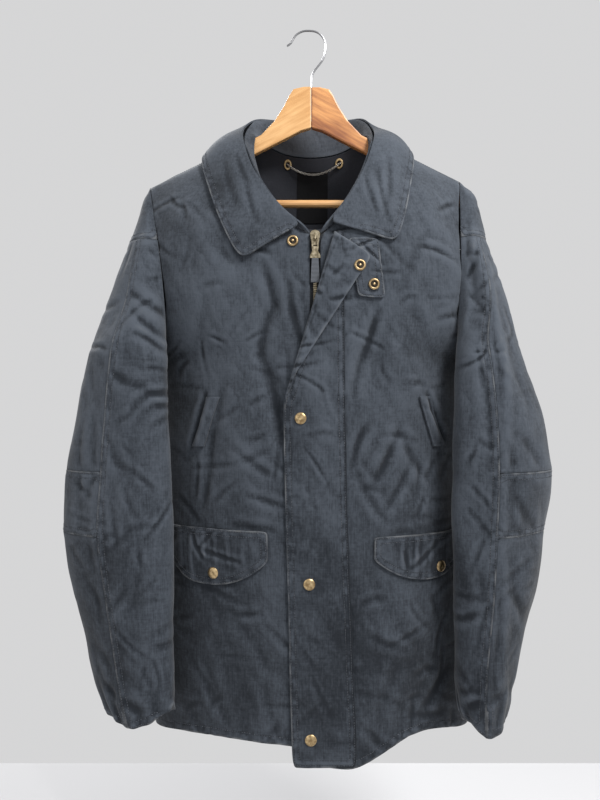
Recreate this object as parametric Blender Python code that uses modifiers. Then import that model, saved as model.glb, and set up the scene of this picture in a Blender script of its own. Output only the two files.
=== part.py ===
"""Woven cotton field jacket hanging zipped up on a wooden hanger, its collar and storm flap open.

Metres, +Z up. +X is the viewer's right, the garment's front faces -Y, and the origin is the inside
top of the hanger's hook. Tables are in millimetres and give the viewer's left side as "left".
The cloth is one sewn surface, cut into panels at its seams, and each panel is given a wall.
"""
import math

import bmesh
import bpy
import numpy as np
from mathutils import Vector
from mathutils.bvhtree import BVHTree

MM = 0.001
LEFT, RIGHT = -1, 1
SIDE_NAME = {LEFT: "left", RIGHT: "right"}

# ---------------------------------------------------------------- driving sizes, in millimetres
BODY_WALL = 2.0            # shell and lining together
SLEEVE_WALL = 1.8
COLLAR_WALL = 2.4
TRIM_WALL = 2.2            # flaps, welts, tabs
SEAM_GAP = 0.4
LIE_GAP = 1.0              # between a panel and what lies on it, measured from in front
SEAT_GAP = 0.3             # between a piece of metal and the cloth that carries it
ZIP_X = 3.5                # the zip stands a little to the viewer's right
ZIP_OPENING = 13.0         # between the two front edges
UNDERARM_Z = -460.0
NECK_SIDE = (76.0, 8.0, -144.0)     # where neckline and shoulder seam meet
SHOULDER_SLOPE = 0.51
SNAP_R = 7.5
STAND_SHORT = 0.8          # how far the stand ends below the line that the fall rolls over
FALL_CLEAR = (0.8, 0.3)    # how far the fall starts outside and above that line
FALL_OVER_FRONT = 2.4      # between the fall's underside and the fronts
SHOULDER_BEHIND = 2.0      # the fall lies on the fronts forward of this depth

# Rows and columns of the panels
ROWS_BELOW = 16            # hem to underarm, on the fronts
FRONT_COLUMNS = 14
SHOULDER_COLUMNS = 7       # of the back, half as many as the front's
SLEEVE_COLUMNS = 18
SEAM_COLUMN = 9            # sleeve column of the seam between top and under sleeve
# Where that seam runs on each sleeve, in degrees from the outer edge round the front
SEAM_ANGLE = {LEFT: 78.0, RIGHT: 104.0}
SEAM_HIGH = 0.6            # and at most this share of the sleeve's front half, up to the armhole

# Armhole edge, up from the underarm: height, then front and back edge. The last row is the tip.
ARMHOLE = [
    # z,    front x, y,    back x, y
    (-460, 208, 2, 208, 2),
    (-453, 202, -14, 210, 22),
    (-438, 197, -30, 211, 46),
    (-415, 195, -42, 212, 54),
    (-388, 196, -47, 213, 57),
    (-358, 199, -47, 214, 54),
    (-328, 203, -44, 216, 48),
    (-300, 208, -38, 218, 40),
    (-275, 213, -30, 220, 31),
    (-252, 218, -21, 222, 22),
    (-234, 222, -13, 224, 14),
    (-223, 225, -7, 226, 8),
    (-219.5, 226, 0, 226, 0),
]
TIP_SHIFT = {LEFT: 0.0, RIGHT: 19.0}     # how far the armhole's top stands in on each side
SHIFT_FADES = -350.0                     # height where that shift ends

# Side seam, up from the hem
SIDE_SEAM = [
    # z,    x,   y
    (-970, 224, 24),
    (-850, 220, 28),
    (-700, 217, 30),
    (-600, 214, 30),
    (-530, 211, 18),
    (-460, 208, 2),
]

# Centre front and neckline of a front, one row for each armhole row: x (from the centre), y, z
FRONT_EDGE = [
    (0, -88, -447),
    (0, -88, -424),
    (0, -87, -400),
    (0, -86, -375),
    (0, -85, -350),
    (0, -83, -326),
    (0, -80, -303),
    (28, -75, -289),
    (50, -62, -264),
    (68, -44, -231),
    (79, -24, -185),
    (79, -9, -149),
    NECK_SIDE,
]
CENTRE_FRONT_Y = [(-970, -86), (-850, -86), (-700, -87), (-600, -88), (-447, -88)]

# How a front's section swells from its side edge to its centre, by row from the hem
FRONT_SECTION = [
    # row, across, depth, crowding, bulge
    (0, 1.95, 1.95, 0.85, 0),
    (ROWS_BELOW - 4, 1.95, 1.9, 0.80, 0),
    (ROWS_BELOW, 2.0, 1.35, 0.75, 0),
    (ROWS_BELOW + 3, 2.2, 1.3, 0.45, 2),
    (ROWS_BELOW + 6, 2.1, 1.1, 0.2, 6),
    (ROWS_BELOW + 8, 2.0, 1.0, 0.1, 10),
    (ROWS_BELOW + 10, 2.0, 1.0, 0.05, 9),
    (ROWS_BELOW + 11, 2.0, 1.0, 0.0, 4),
    (ROWS_BELOW + 12, 1.0, 1.0, 0.0, 0),
]

# Hem of each front and of the back: share of the way from the centre to the side seam, height
HEM = {
    LEFT: [(0, -962), (0.27, -956), (0.54, -954), (0.76, -957), (1, -970)],
    RIGHT: [(0, -984), (0.23, -988), (0.37, -974), (0.5, -956), (0.67, -951), (1, -970)],
    0: [(0, -974), (0.5, -966), (1, -970)],
}
HEM_FADE = 170.0

# Centre back, and the back neckline from the centre to the shoulder
CENTRE_BACK_Y = [(-974, 78), (-700, 80), (-500, 80), (-400, 77), (-300, 69), (-220, 59), (-161, 50)]
BACK_NECK = [(0, 50, -161), (24, 48, -160), (46, 41, -157), (65, 27, -151), NECK_SIDE]

# Large folds of the two fronts: ends in the front view, width and depth (positive is a ridge)
FRONT_FOLDS = {
    LEFT: [
        # x1,  z1,   x2,   z2,  width, depth
        (-52, -345, -66, -450, 17, -9),
        (-66, -450, -42, -560, 15, -8),
        (-30, -370, -24, -470, 15, -8),
        (-90, -420, -84, -640, 26, 5),
        (-120, -520, -138, -655, 15, -7),
        (-150, -600, -60, -650, 14, 4),
        (-110, -780, -60, -940, 26, -4),
    ],
    RIGHT: [
        (88, -400, 56, -510, 16, -9),
        (72, -540, 48, -590, 13, -7),
        (110, -410, 120, -540, 22, 6),
        (118, -548, 82, -620, 14, -7),
        (128, -540, 156, -618, 13, -6),
        (100, -350, 150, -430, 20, -4),
        (180, -880, 110, -945, 15, -6),
        (120, -780, 90, -930, 22, 4),
    ],
}
BACK_FOLDS = [
    (-60, -230, -150, -330, 24, 5),
    (70, -240, 150, -350, 24, 5),
    (-40, -420, -70, -700, 26, -6),
    (60, -450, 40, -760, 26, -6),
    (-130, -560, -90, -900, 26, 5),
    (130, -600, 110, -930, 26, 6),
]

# Sleeve sections, down from the shoulder
SLEEVE = {
    LEFT: [
        # z,   outer, inner, middle y, half depth, lean, front sweep, back sweep
        (-223, 231, 214, 0, 8, 0, 92, 92),
        (-252, 238, 206, 0, 22, 0, 100, 96),
        (-300, 254, 198, -3, 38, 2, 118, 104),
        (-358, 272, 192, -16, 47, 6, 138, 112),
        (-415, 289, 190, -34, 44, 10, 160, 116),
        (-460, 302, 190, -45, 45, 13, 222, 138),
        (-516, 314, 188, -52, 41, 16, 230, 130),
        (-580, 326, 183, -53, 41, 17, 235, 125),
        (-645, 336, 179, -54, 40, 18, 235, 125),
        (-690, 335, 178, -55, 40, 18, 235, 125),
        (-755, 325, 178, -57, 39, 17, 235, 125),
        (-825, 304, 178, -60, 39, 16, 235, 125),
        (-885, 290, 177, -63, 38, 15, 235, 125),
        (-930, 270, 176, -65, 38, 13, 235, 125),
    ],
    RIGHT: [
        (-223, 226, 196, 0, 14, 0, 92, 92),
        (-252, 235, 194, 0, 26, 0, 104, 98),
        (-300, 244, 192, -3, 39, 2, 120, 104),
        (-358, 262, 192, -16, 46, 6, 138, 112),
        (-415, 274, 190, -34, 44, 10, 160, 116),
        (-460, 286, 190, -45, 45, 12, 222, 138),
        (-516, 307, 186, -52, 42, 15, 230, 130),
        (-580, 322, 182, -54, 42, 17, 235, 125),
        (-645, 323, 181, -55, 41, 18, 235, 125),
        (-690, 314, 182, -56, 41, 18, 235, 125),
        (-755, 305, 183, -58, 41, 16, 235, 125),
        (-825, 283, 184, -61, 41, 14, 235, 125),
        (-885, 265, 186, -65, 42, 12, 235, 125),
        (-935, 250, 194, -68, 43, 8, 235, 125),
    ],
}
SLEEVE_LEVELS = [-488, -518, -548, -578, -608, -636, -663, -690, -722, -756, -790, -826, -862, -898]
ELBOW_LEVELS = (-608, -690)
CUFF = {LEFT: (-930, 16, 6), RIGHT: (-936, 8, 6)}      # level, rise at the inner edge, wave
CAP_LEVEL = -300

# Large folds of the sleeves: angle from the outer edge round the front, height; width, depth
SLEEVE_FOLDS = {
    LEFT: [
        # a1,  z1,   a2,   z2, width, depth
        (60, -400, 150, -350, 17, -7),
        (40, -470, 130, -400, 18, 6),
        (70, -560, 160, -520, 17, -5),
        (30, -640, 120, -600, 18, -6),
        (40, -700, 150, -660, 18, 5),
        (30, -790, 130, -750, 17, -5),
        (60, -860, 150, -830, 16, -5),
        (100, -240, 100, -420, 15, 5),
        (-60, -480, -110, -640, 22, -6),
        (-40, -700, -100, -820, 22, -5),
    ],
    RIGHT: [
        (95, -290, 80, -470, 13, 8),
        (80, -470, 100, -700, 14, 7),
        (100, -700, 95, -900, 14, 6),
        (130, -330, 110, -480, 15, -8),
        (60, -430, 30, -520, 17, -6),
        (60, -600, 20, -560, 16, -5),
        (60, -700, 20, -660, 16, -6),
        (60, -800, 20, -770, 16, -5),
        (-60, -480, -110, -640, 22, -6),
        (-40, -700, -100, -820, 22, -5),
    ],
}

# Collar of each side: place from the centre back (0) to the front end (1), the roll line at the
# top of the stand, the outer edge of the fall, and how far the fall bows between them
COLLAR = {
    LEFT: [
        # at,    roll x, y, z,         edge x, y, z,          bow
        (0.00, 0, 55, -104, 0, 86, -186, 8),
        (0.20, 50, 49, -105, 78, 74, -184, 8),
        (0.36, 80, 28, -113, 126, 40, -178, 9),
        (0.49, 95, 4, -138, 149, 2, -174, 9),
        (0.56, 94, -22, -156, 150, -17, -183, 8),
        (0.63, 88, -39, -182, 147, -26, -204, 7),
        (0.72, 78, -55, -210, 135, -44, -241, 6),
        (0.82, 62, -66, -238, 121, -62, -280, 5),
        (0.90, 45, -73, -263, 107, -74, -309, 4),
        (0.96, 27, -81, -281, 96, -80, -329, 3),
        (1.00, 13, -86, -292, 88, -83, -335, 2),
    ],
    RIGHT: [
        (0.00, 0, 55, -104, 0, 86, -186, 8),
        (0.20, 50, 49, -105, 76, 74, -184, 8),
        (0.36, 76, 28, -112, 116, 40, -176, 11),
        (0.49, 87, 4, -140, 138, 2, -167, 11),
        (0.56, 86, -26, -154, 140, -12, -179, 9),
        (0.63, 79, -43, -180, 138, -24, -200, 7),
        (0.72, 69, -53, -209, 131, -40, -232, 6),
        (0.82, 58, -64, -231, 122, -58, -271, 5),
        (0.90, 47, -69, -252, 114, -69, -297, 4),
        (0.96, 34, -78, -273, 109, -74, -308, 3),
        (1.00, 20, -85, -289, 103, -77, -312, 2),
    ],
}
# Where on those lines each neckline point is sewn, from the centre back to the front end
NECK_PLACES = [0, 0.1, 0.19, 0.28, 0.38, 0.51, 0.6, 0.73, 0.84, 0.92, 1]
COLLAR_COLUMNS = 15
COLLAR_ROWS = 5

# Storm flap: seam edge and free edge, down from the top, then the line it is folded back along
STORM_FLAP = [
    # z,    seam x, free x
    (-299, 40, -37),
    (-540, 42, -37),
    (-700, 46, -33),
    (-850, 52, -29),
    (-984, 57, -26),
]
FOLD_TOP, FOLD_END = (35.0, -299.0), (-37.0, -541.0)
FOLD_R = 6.5
STORM_GAP = 1.2
FOLD_COLUMNS = (3, 5, 3)   # columns up to the fold, round its roll, and past it

# Pocket flaps: centre of the top seam round the panel, half width, and depth from the top seam
POCKET_FLAPS = {
    LEFT: dict(centre=-133, half=76, top=-684, middle=-757, corner=-724),
    RIGHT: dict(centre=156, half=77, top=-692, middle=-752, corner=-722),
}
FLAP_COLUMNS, FLAP_ROWS = 12, 5
FLAP_TURN, FLAP_CROWD = 165, 0.62      # past this x the panel turns away and a flap looks narrower
WELTS = {
    LEFT: dict(top=(-139, -512), bottom=(-160, -578), width=18),
    RIGHT: dict(top=(157, -511), bottom=(181, -578), width=-18),
}
THROAT_TAB = dict(top=(46, 84, -309), bottom=(58, 93, -385))     # left x, right x, z

# Snaps: carrier, x, z, and whether it is a closed cap or an open ring
SNAPS = {
    "snap_cap_top": ("storm_flap", -18, -543, "cap"),
    "snap_cap_middle": ("storm_flap", -7, -754, "cap"),
    "snap_cap_bottom": ("storm_flap", -5, -952, "cap"),
    "snap_cap_pocket_left": ("pocket_flap_left", -133, -743, "cap"),
    "snap_cap_pocket_right": ("pocket_flap_right", 168, -739, "cap"),
    "snap_ring_front": ("front_left", -29, -317, "ring"),
    "snap_ring_storm_flap": ("storm_flap", 56, -351, "ring"),
    "snap_ring_throat_tab": ("throat_tab", 73, -371, "ring"),
}

EYELETS = ((-34, -171), (42, -170))     # x, z of the hanging chain's ends
EYELET_R, EYELET_WIRE, EYELET_LONG, EYELET_FLAT = 4.6, 1.5, 1.25, 0.7
CHAIN_SAG, CHAIN_FORWARD, CHAIN_R = 16.0, 1.3, 1.2

# Zip, measured back from the front edges: tapes, teeth, then the slider and its pull (x, z outlines)
ZIP_TOP, ZIP_BOTTOM = -296.0, -940.0
TAPE_BEHIND, TAPE_THICK, TAPE_UNDER, TAPE_CLEAR = 3.9, 0.8, 7.0, 0.7
TOOTH_TOP, TOOTH_BOTTOM = -320.0, -934.0
TEETH_HALF, TEETH_BEHIND, TEETH_THICK = 2.9, 0.3, 2.3
SLIDER_THICK, SLIDER_PROUD = 6.0, 3.8
SLIDER = [(-6.4, 6), (-4.5, 9), (0, 10.5), (4.5, 9), (6.4, 6), (5.0, -4), (4.2, -9), (-4.2, -9), (-5.0, -4)]
BRIDGE = [(0.6, 3.4), (-2.2, 3.4), (-4.0, 1.8), (-4.0, -1.8), (-2.2, -3.4), (0.6, -3.4)]   # depth, height
BRIDGE_R = 0.7
PULL_HINGE_Z, PULL_PROUD = -309.0, 2.1
TAB_THICK, GRIP_THICK = 1.6, 2.4
TAB = [(-4.4, 0.8), (4.4, 0.8), (4.4, -12), (3.6, -17), (6.6, -23), (6.6, -26), (-6.6, -26), (-6.6, -23),
       (-3.6, -17), (-4.4, -12)]
TAB_HOLE = [(-2.6, -0.8), (2.6, -0.8), (2.6, -11), (-2.6, -11)]
GRIP = [(-4.2, -26.4), (4.2, -26.4), (5.0, -40), (5.6, -57), (-5.6, -57), (-5.0, -40)]

# Label inside the back neck
LABEL_X, LABEL_Z = (-20, 25), (-253, -180)
LABEL_BEHIND, LABEL_THICK = 0.5, 0.8

# Hanger, in the plane Y = 0: outline of one half from the middle, and the hook's wire
HANGER_HALF = [
    (0, -79), (12, -79), (25, -82), (31, -91), (39, -107), (52, -127), (70, -146), (98, -160),
    (150, -186.5), (198, -211), (206, -218), (209, -228), (209, -245), (205, -249), (200.5, -248),
    (200.5, -235), (190, -230), (98, -183), (40, -153.5), (14, -140), (0, -136),
]
HANGER_THICK, HANGER_ROUND = 10.0, 2.5
BAR_R, BAR_Z, BAR_HALF = 5.5, -241.5, 200.1
WIRE_R = 1.4
HOOK = [
    (-34, -20), (-28.5, -16), (-25, -9.5), (-20, -3.5), (-12, 0.6), (-3, 1.4), (6, 0.2), (13, -4),
    (18, -11), (20, -20), (19, -31), (15, -41), (8, -50), (3, -57), (0.6, -65), (0, -78.6),
]

COLLECTION = bpy.data.collections.new("field_jacket_on_hanger")
HELPERS = bpy.data.collections.new("helpers")


# ---------------------------------------------------------------- general tools
def start_clean():
    for old in list(bpy.data.objects):
        bpy.data.objects.remove(old, do_unlink=True)
    for collection in (COLLECTION, HELPERS):
        bpy.context.scene.collection.children.link(collection)


def material(name, colour, roughness, metallic=0.0):
    made = bpy.data.materials.new(name)
    made.use_nodes = True
    surface = made.node_tree.nodes["Principled BSDF"]
    surface.inputs["Base Color"].default_value = (*colour, 1)
    surface.inputs["Roughness"].default_value = roughness
    surface.inputs["Metallic"].default_value = metallic
    return made


def smooth(knots, values, at):
    """Values at the places `at` on a smooth curve through the rows of a table."""
    knots, values, at = (np.asarray(a, float) for a in (knots, values, at))
    slopes = np.gradient(values, knots, axis=0)
    k = np.clip(np.searchsorted(knots, at, side="right") - 1, 0, len(knots) - 2)
    step = knots[k + 1] - knots[k]
    t = np.clip((at - knots[k]) / step, 0, 1)
    if values.ndim > 1:
        t, step = t[..., None], step[..., None]
    return (
        (1 + 2 * t) * (1 - t) ** 2 * values[k]
        + t * (1 - t) ** 2 * step * slopes[k]
        + t * t * (3 - 2 * t) * values[k + 1]
        + t * t * (t - 1) * step * slopes[k + 1]
    )


def column(table, index):
    return np.array([row[index] for row in table], float)


def by_height(table, z):
    """The columns after the first of a table whose first column is height, at the heights z."""
    rows = sorted(table, key=lambda row: row[0])
    values = np.array([row[1:] for row in rows], float)
    return smooth(column(rows, 0), values, z)


def unit(vectors):
    length = np.linalg.norm(vectors, axis=-1, keepdims=True)
    return vectors / np.maximum(length, 1e-12)


def shade_round(mesh, degrees=40):
    mesh.shade_smooth()
    mesh.set_sharp_from_angle(angle=math.radians(degrees))


def add_object(name, mesh, finish):
    made = bpy.data.objects.new(name, mesh)
    mesh.materials.append(finish)
    COLLECTION.objects.link(made)
    return made


def grid_normals(grid):
    """Normal at each point of a grid of points, along (next column) x (next row)."""
    across = np.gradient(grid, axis=1)
    along = np.gradient(grid, axis=0)
    return unit(np.cross(across, along))


def wall(name, outer, inner, finish):
    """A closed wall between two grids of points (millimetres) with the same rows and columns."""
    rows, columns = outer.shape[:2]
    bm = bmesh.new()
    verts = [[[bm.verts.new(Vector(p) * MM) for p in row] for row in grid] for grid in (outer, inner)]
    for layer in verts:
        for i in range(rows - 1):
            for j in range(columns - 1):
                bm.faces.new((layer[i][j], layer[i][j + 1], layer[i + 1][j + 1], layer[i + 1][j]))
    border = [(0, j) for j in range(columns)]
    border += [(i, columns - 1) for i in range(1, rows)]
    border += [(rows - 1, j) for j in range(columns - 2, -1, -1)]
    border += [(i, 0) for i in range(rows - 2, 0, -1)]
    for (i, j), (k, m) in zip(border, border[1:] + border[:1]):
        a, b, c, d = verts[0][i][j], verts[0][k][m], verts[1][k][m], verts[1][i][j]
        run = b.co - a.co
        # Neighbours share this twisted side, so both split it along the same diagonal
        if run[max(range(3), key=lambda axis: abs(run[axis]))] > 0:
            sides = (a, b, c), (a, c, d)
        else:
            sides = (a, b, d), (b, c, d)
        for side in sides:
            bm.faces.new(side)
    bmesh.ops.recalc_face_normals(bm, faces=bm.faces)
    mesh = bpy.data.meshes.new(name)
    bm.to_mesh(mesh)
    bm.free()
    shade_round(mesh)
    return add_object(name, mesh, finish)


def draw_in(grid, gap):
    """How far each border point of a grid moves in, so that two pieces stand `gap` apart."""
    move = np.zeros_like(grid)
    for edge, inside in (((slice(None), 0), (slice(None), 1)), ((slice(None), -1), (slice(None), -2)),
                         ((0,), (1,)), ((-1,), (-2,))):
        move[edge] += unit(grid[inside] - grid[edge]) * gap / 2
    return move


def tree_of(obj):
    return BVHTree.FromPolygons([v.co for v in obj.data.vertices], [p.vertices for p in obj.data.polygons])


def front_of(trees, x, z, start=-200.0):
    """(y, normal) of what a ray from in front meets first at (x, z); millimetres."""
    best = None
    for tree in trees:
        place, normal, _, _ = tree.ray_cast(Vector((x, start, z)) * MM, Vector((0, 1, 0)))
        if place is not None and (best is None or place.y / MM < best[0]):
            best = (place.y / MM, normal)
    return best


def fold_field(x, z, folds):
    """Sum of the folds' depths at points (x, z): each fades across its width and at its ends."""
    total = np.zeros_like(x)
    for x1, z1, x2, z2, width, depth in folds:
        dx, dz = x2 - x1, z2 - z1
        t = np.clip(((x - x1) * dx + (z - z1) * dz) / (dx * dx + dz * dz), 0, 1)
        gap = np.hypot(x - x1 - t * dx, z - z1 - t * dz)
        total += depth * np.exp(-((gap / width) ** 2)) * (0.35 + 0.65 * np.sin(math.pi * t))
    return total


# ---------------------------------------------------------------- body and sleeves
def armhole(side):
    """Rows of the armhole on one side as front and back edge points."""
    z, front_x, front_y, back_x, back_y = (column(ARMHOLE, k) for k in range(5))
    top = z[-1]
    share = np.clip((z - SHIFT_FADES) / (top - SHIFT_FADES), 0, 1)
    shift = TIP_SHIFT[side] * share
    z = z + shift * SHOULDER_SLOPE
    front = np.stack([side * (front_x - shift), front_y, z], axis=1)
    back = np.stack([side * (back_x - shift), back_y, z], axis=1)
    return front, back


def side_seam(side, levels):
    x, y = by_height(SIDE_SEAM, levels).T
    return np.stack([side * x, y, levels], axis=1)


def hem_shift(share, z, hem):
    """How far a point near the hem moves so that the hem follows its table."""
    table = np.array(hem, float)
    wanted = smooth(table[:, 0], table[:, 1], share)
    straight = SIDE_SEAM[0][0]
    fade = np.clip((straight + HEM_FADE - z) / HEM_FADE, 0, 1)
    return (wanted - straight) * fade ** 2


def level_rows(count):
    return np.linspace(SIDE_SEAM[0][0], UNDERARM_Z, count + 1)


def front_grid(side):
    """Rows from hem to shoulder seam, columns from centre front to side seam."""
    low = level_rows(ROWS_BELOW)
    outer = np.vstack([side_seam(side, low)[:-1], armhole(side)[0]])
    edge = np.array(FRONT_EDGE, float)
    centre_z = np.linspace(SIDE_SEAM[0][0], edge[0, 2], ROWS_BELOW + 1)
    centre_y = by_height(CENTRE_FRONT_Y, centre_z)[:, 0]
    centre = np.stack([0 * centre_z, centre_y, centre_z], axis=1)
    inner = np.vstack([centre[:-1], edge])
    at_zip = inner[:, 0] == 0
    inner[:, 0] = np.where(at_zip, ZIP_X + side * ZIP_OPENING / 2, side * inner[:, 0])
    rows = np.arange(len(outer))
    across, depth, crowd, bulge = smooth(
        column(FRONT_SECTION, 0), np.array([r[1:] for r in FRONT_SECTION], float), rows).T
    u = np.linspace(0, 1, FRONT_COLUMNS + 1)
    s = (1 - crowd[:, None]) * u + crowd[:, None] * np.sin(u * math.pi / 2)
    swell = (1 - s ** across[:, None]) ** (1 / depth[:, None])
    x = inner[:, :1] + (outer[:, :1] - inner[:, :1]) * s
    z = inner[:, 2:] + (outer[:, 2:] - inner[:, 2:]) * s
    y = outer[:, 1:2] + (inner[:, 1:2] - outer[:, 1:2]) * swell - bulge[:, None] * 4 * s * (1 - s)
    window = np.clip(u * 6, 0, 1) * np.clip((1 - u) * 5, 0, 1)
    reach = np.clip((len(outer) - 1 - rows) / 6, 0, 1)[:, None]
    y = y - fold_field(x, z, FRONT_FOLDS[side]) * window * reach
    z = z + hem_shift(s, z, HEM[side])
    return np.stack([x, y, z], axis=2)


def back_grid():
    """Rows from hem to neck and shoulder, columns from the left side seam to the right."""
    low = level_rows(ROWS_BELOW)[::2]
    neck = np.array(BACK_NECK, float)
    halves = []
    for side in (LEFT, RIGHT):
        arm = armhole(side)[1]
        outer = np.vstack([side_seam(side, low)[:-1], arm])
        top_u = np.linspace(0, 1, SHOULDER_COLUMNS + 1)[1:, None]
        corner = neck[-1] * (side, 1, 1)
        top = np.vstack([neck * (side, 1, 1), corner + (arm[-1] - corner) * top_u])
        levels = len(low) - 1
        share = (arm[:, 2] - arm[-1, 2]) / (arm[0, 2] - arm[-1, 2])
        share = np.concatenate([np.full(levels, 1.0), share])
        s = np.abs(top[:, 0] / top[-1, 0])
        fade = ((1 - share) ** 2)[:, None]
        even = np.sin(np.linspace(0, 1, len(top)) * math.pi / 2) * 0.7 + np.linspace(0, 1, len(top)) * 0.3
        s = s * fade + even * (1 - fade)
        x = outer[:, :1] * s
        drop = np.vstack([np.tile(low[:-1, None], (1, len(top))), top[:, 2] + share[levels:, None]
                          * (arm[0, 2] - top[:, 2])])
        centre_y = by_height(CENTRE_BACK_Y, drop[:, 0])[:, 0][:, None]
        swell = (1 - s ** 2.4) ** (1 / 2.1)
        y = outer[:, 1:2] + (centre_y - outer[:, 1:2]) * swell
        y = y + (top[:, 1] - y[-1]) * ((1 - share) ** 3)[:, None]
        window = np.clip((1 - np.linspace(0, 1, len(top))) * 4, 0, 1)
        y = y + fold_field(x, drop, BACK_FOLDS) * window * np.clip(4 * share, 0, 1)[:, None]
        z = drop + hem_shift(s, drop, HEM[0])
        halves.append(np.stack([x, y, z], axis=2))
    return np.concatenate([halves[0][:, ::-1], halves[1][:, 1:]], axis=1)


def snap_seam(grid, column_index, count):
    """Put every second seam point of the finer panel on the coarser panel's straight edge."""
    for i in range(1, count, 2):
        grid[i, column_index] = (grid[i - 1, column_index] + grid[i + 1, column_index]) / 2


def sleeve_grid(side, body_front, body_back):
    """Rows from cuff to shoulder, columns from the inner seam round the front to the back."""
    level, rise, wave = CUFF[side]
    low = np.array([level] + SLEEVE_LEVELS[::-1], float)
    high = body_front[:-1, 2]
    levels = np.concatenate([low, high])
    outer, inner, middle, half, lean, front_sweep, back_sweep = by_height(SLEEVE[side], levels).T
    closed = levels <= UNDERARM_Z
    back_sweep = np.where(closed, 360 - front_sweep, back_sweep)
    t = np.linspace(0, 1, SLEEVE_COLUMNS + 1)
    seam = SEAM_COLUMN / SLEEVE_COLUMNS
    # Near the armhole the front of the sleeve is narrower, and the seam runs nearer its outer edge
    seam_angle = np.minimum(SEAM_ANGLE[side], SEAM_HIGH * front_sweep)[:, None]
    angle = np.where(
        t <= seam,
        front_sweep[:, None] + (seam_angle - front_sweep[:, None]) * t / seam,
        seam_angle + (-back_sweep[:, None] - seam_angle) * (t - seam) / (1 - seam),
    )
    turn = np.radians(angle)
    centre, spread = (outer + inner)[:, None] / 2, (outer - inner)[:, None] / 2
    x = centre + spread * np.cos(turn)
    y = middle[:, None] - half[:, None] * np.sin(turn) + lean[:, None] * np.cos(turn)
    z = np.repeat(levels[:, None], len(t), axis=1)
    field = fold_field(angle * 0.75, z, [(a * 0.75, p, b * 0.75, q, w, d)
                                         for a, p, b, q, w, d in SLEEVE_FOLDS[side]])
    field *= np.clip(t * 6, 0, 1) * np.clip((1 - t) * 6, 0, 1)
    field *= np.clip((UNDERARM_Z + 240 - z) / 60, 0, 1)
    x, y = x + field * np.cos(turn), y - field * np.sin(turn)
    grid = np.stack([side * x, y, z], axis=2)
    cuff = grid[0]
    cuff[:, 2] += rise * (1 - np.cos(turn[0])) / 2 + wave * np.sin(3 * turn[0])
    # The edges above the underarm are the body's own armhole points
    count = len(high)
    starts = np.zeros((len(levels), 3))
    ends = np.zeros((len(levels), 3))
    starts[-count:] = body_front[:-1] - grid[-count:, 0]
    ends[-count:] = body_back[:-1] - grid[-count:, -1]
    for k in range(1, 3):
        starts[-count - k] = ends[-count - k] = starts[-count] * (1 - k / 3) ** 3
    near_start = np.clip(1 - t / 0.12, 0, 1) ** 2
    near_end = np.clip(1 - (1 - t) / 0.34, 0, 1) ** 2
    grid += starts[:, None] * near_start[:, None] + ends[:, None] * near_end[:, None]
    # The top row lies on the armhole's top edge, over the shoulder tip
    tip = body_front[-1]
    for j, share in enumerate(t):
        if share <= 0.5:
            grid[-1, j] = body_front[-2] + (tip - body_front[-2]) * share * 2
        else:
            grid[-1, j] = tip + (body_back[-2] - tip) * (share * 2 - 1)
    return grid


def shared_normals(patches):
    """Outward normals of all patches, averaged where their points meet. A patch is (grid, sign)."""
    total = {}
    keys = {}
    for name, (grid, sign) in patches.items():
        rows, columns = grid.shape[:2]
        keys[name] = [[tuple(np.round(grid[i, j], 3)) for j in range(columns)] for i in range(rows)]
        for i in range(rows - 1):
            for j in range(columns - 1):
                a, b, c, d = grid[i, j], grid[i, j + 1], grid[i + 1, j + 1], grid[i + 1, j]
                n = sign * np.cross(c - a, d - b)
                for key in (keys[name][i][j], keys[name][i][j + 1],
                            keys[name][i + 1][j + 1], keys[name][i + 1][j]):
                    total[key] = total.get(key, 0) + n
    return {
        name: unit(np.array([[total[key] for key in row] for row in keys[name]]))
        for name in patches
    }


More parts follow.
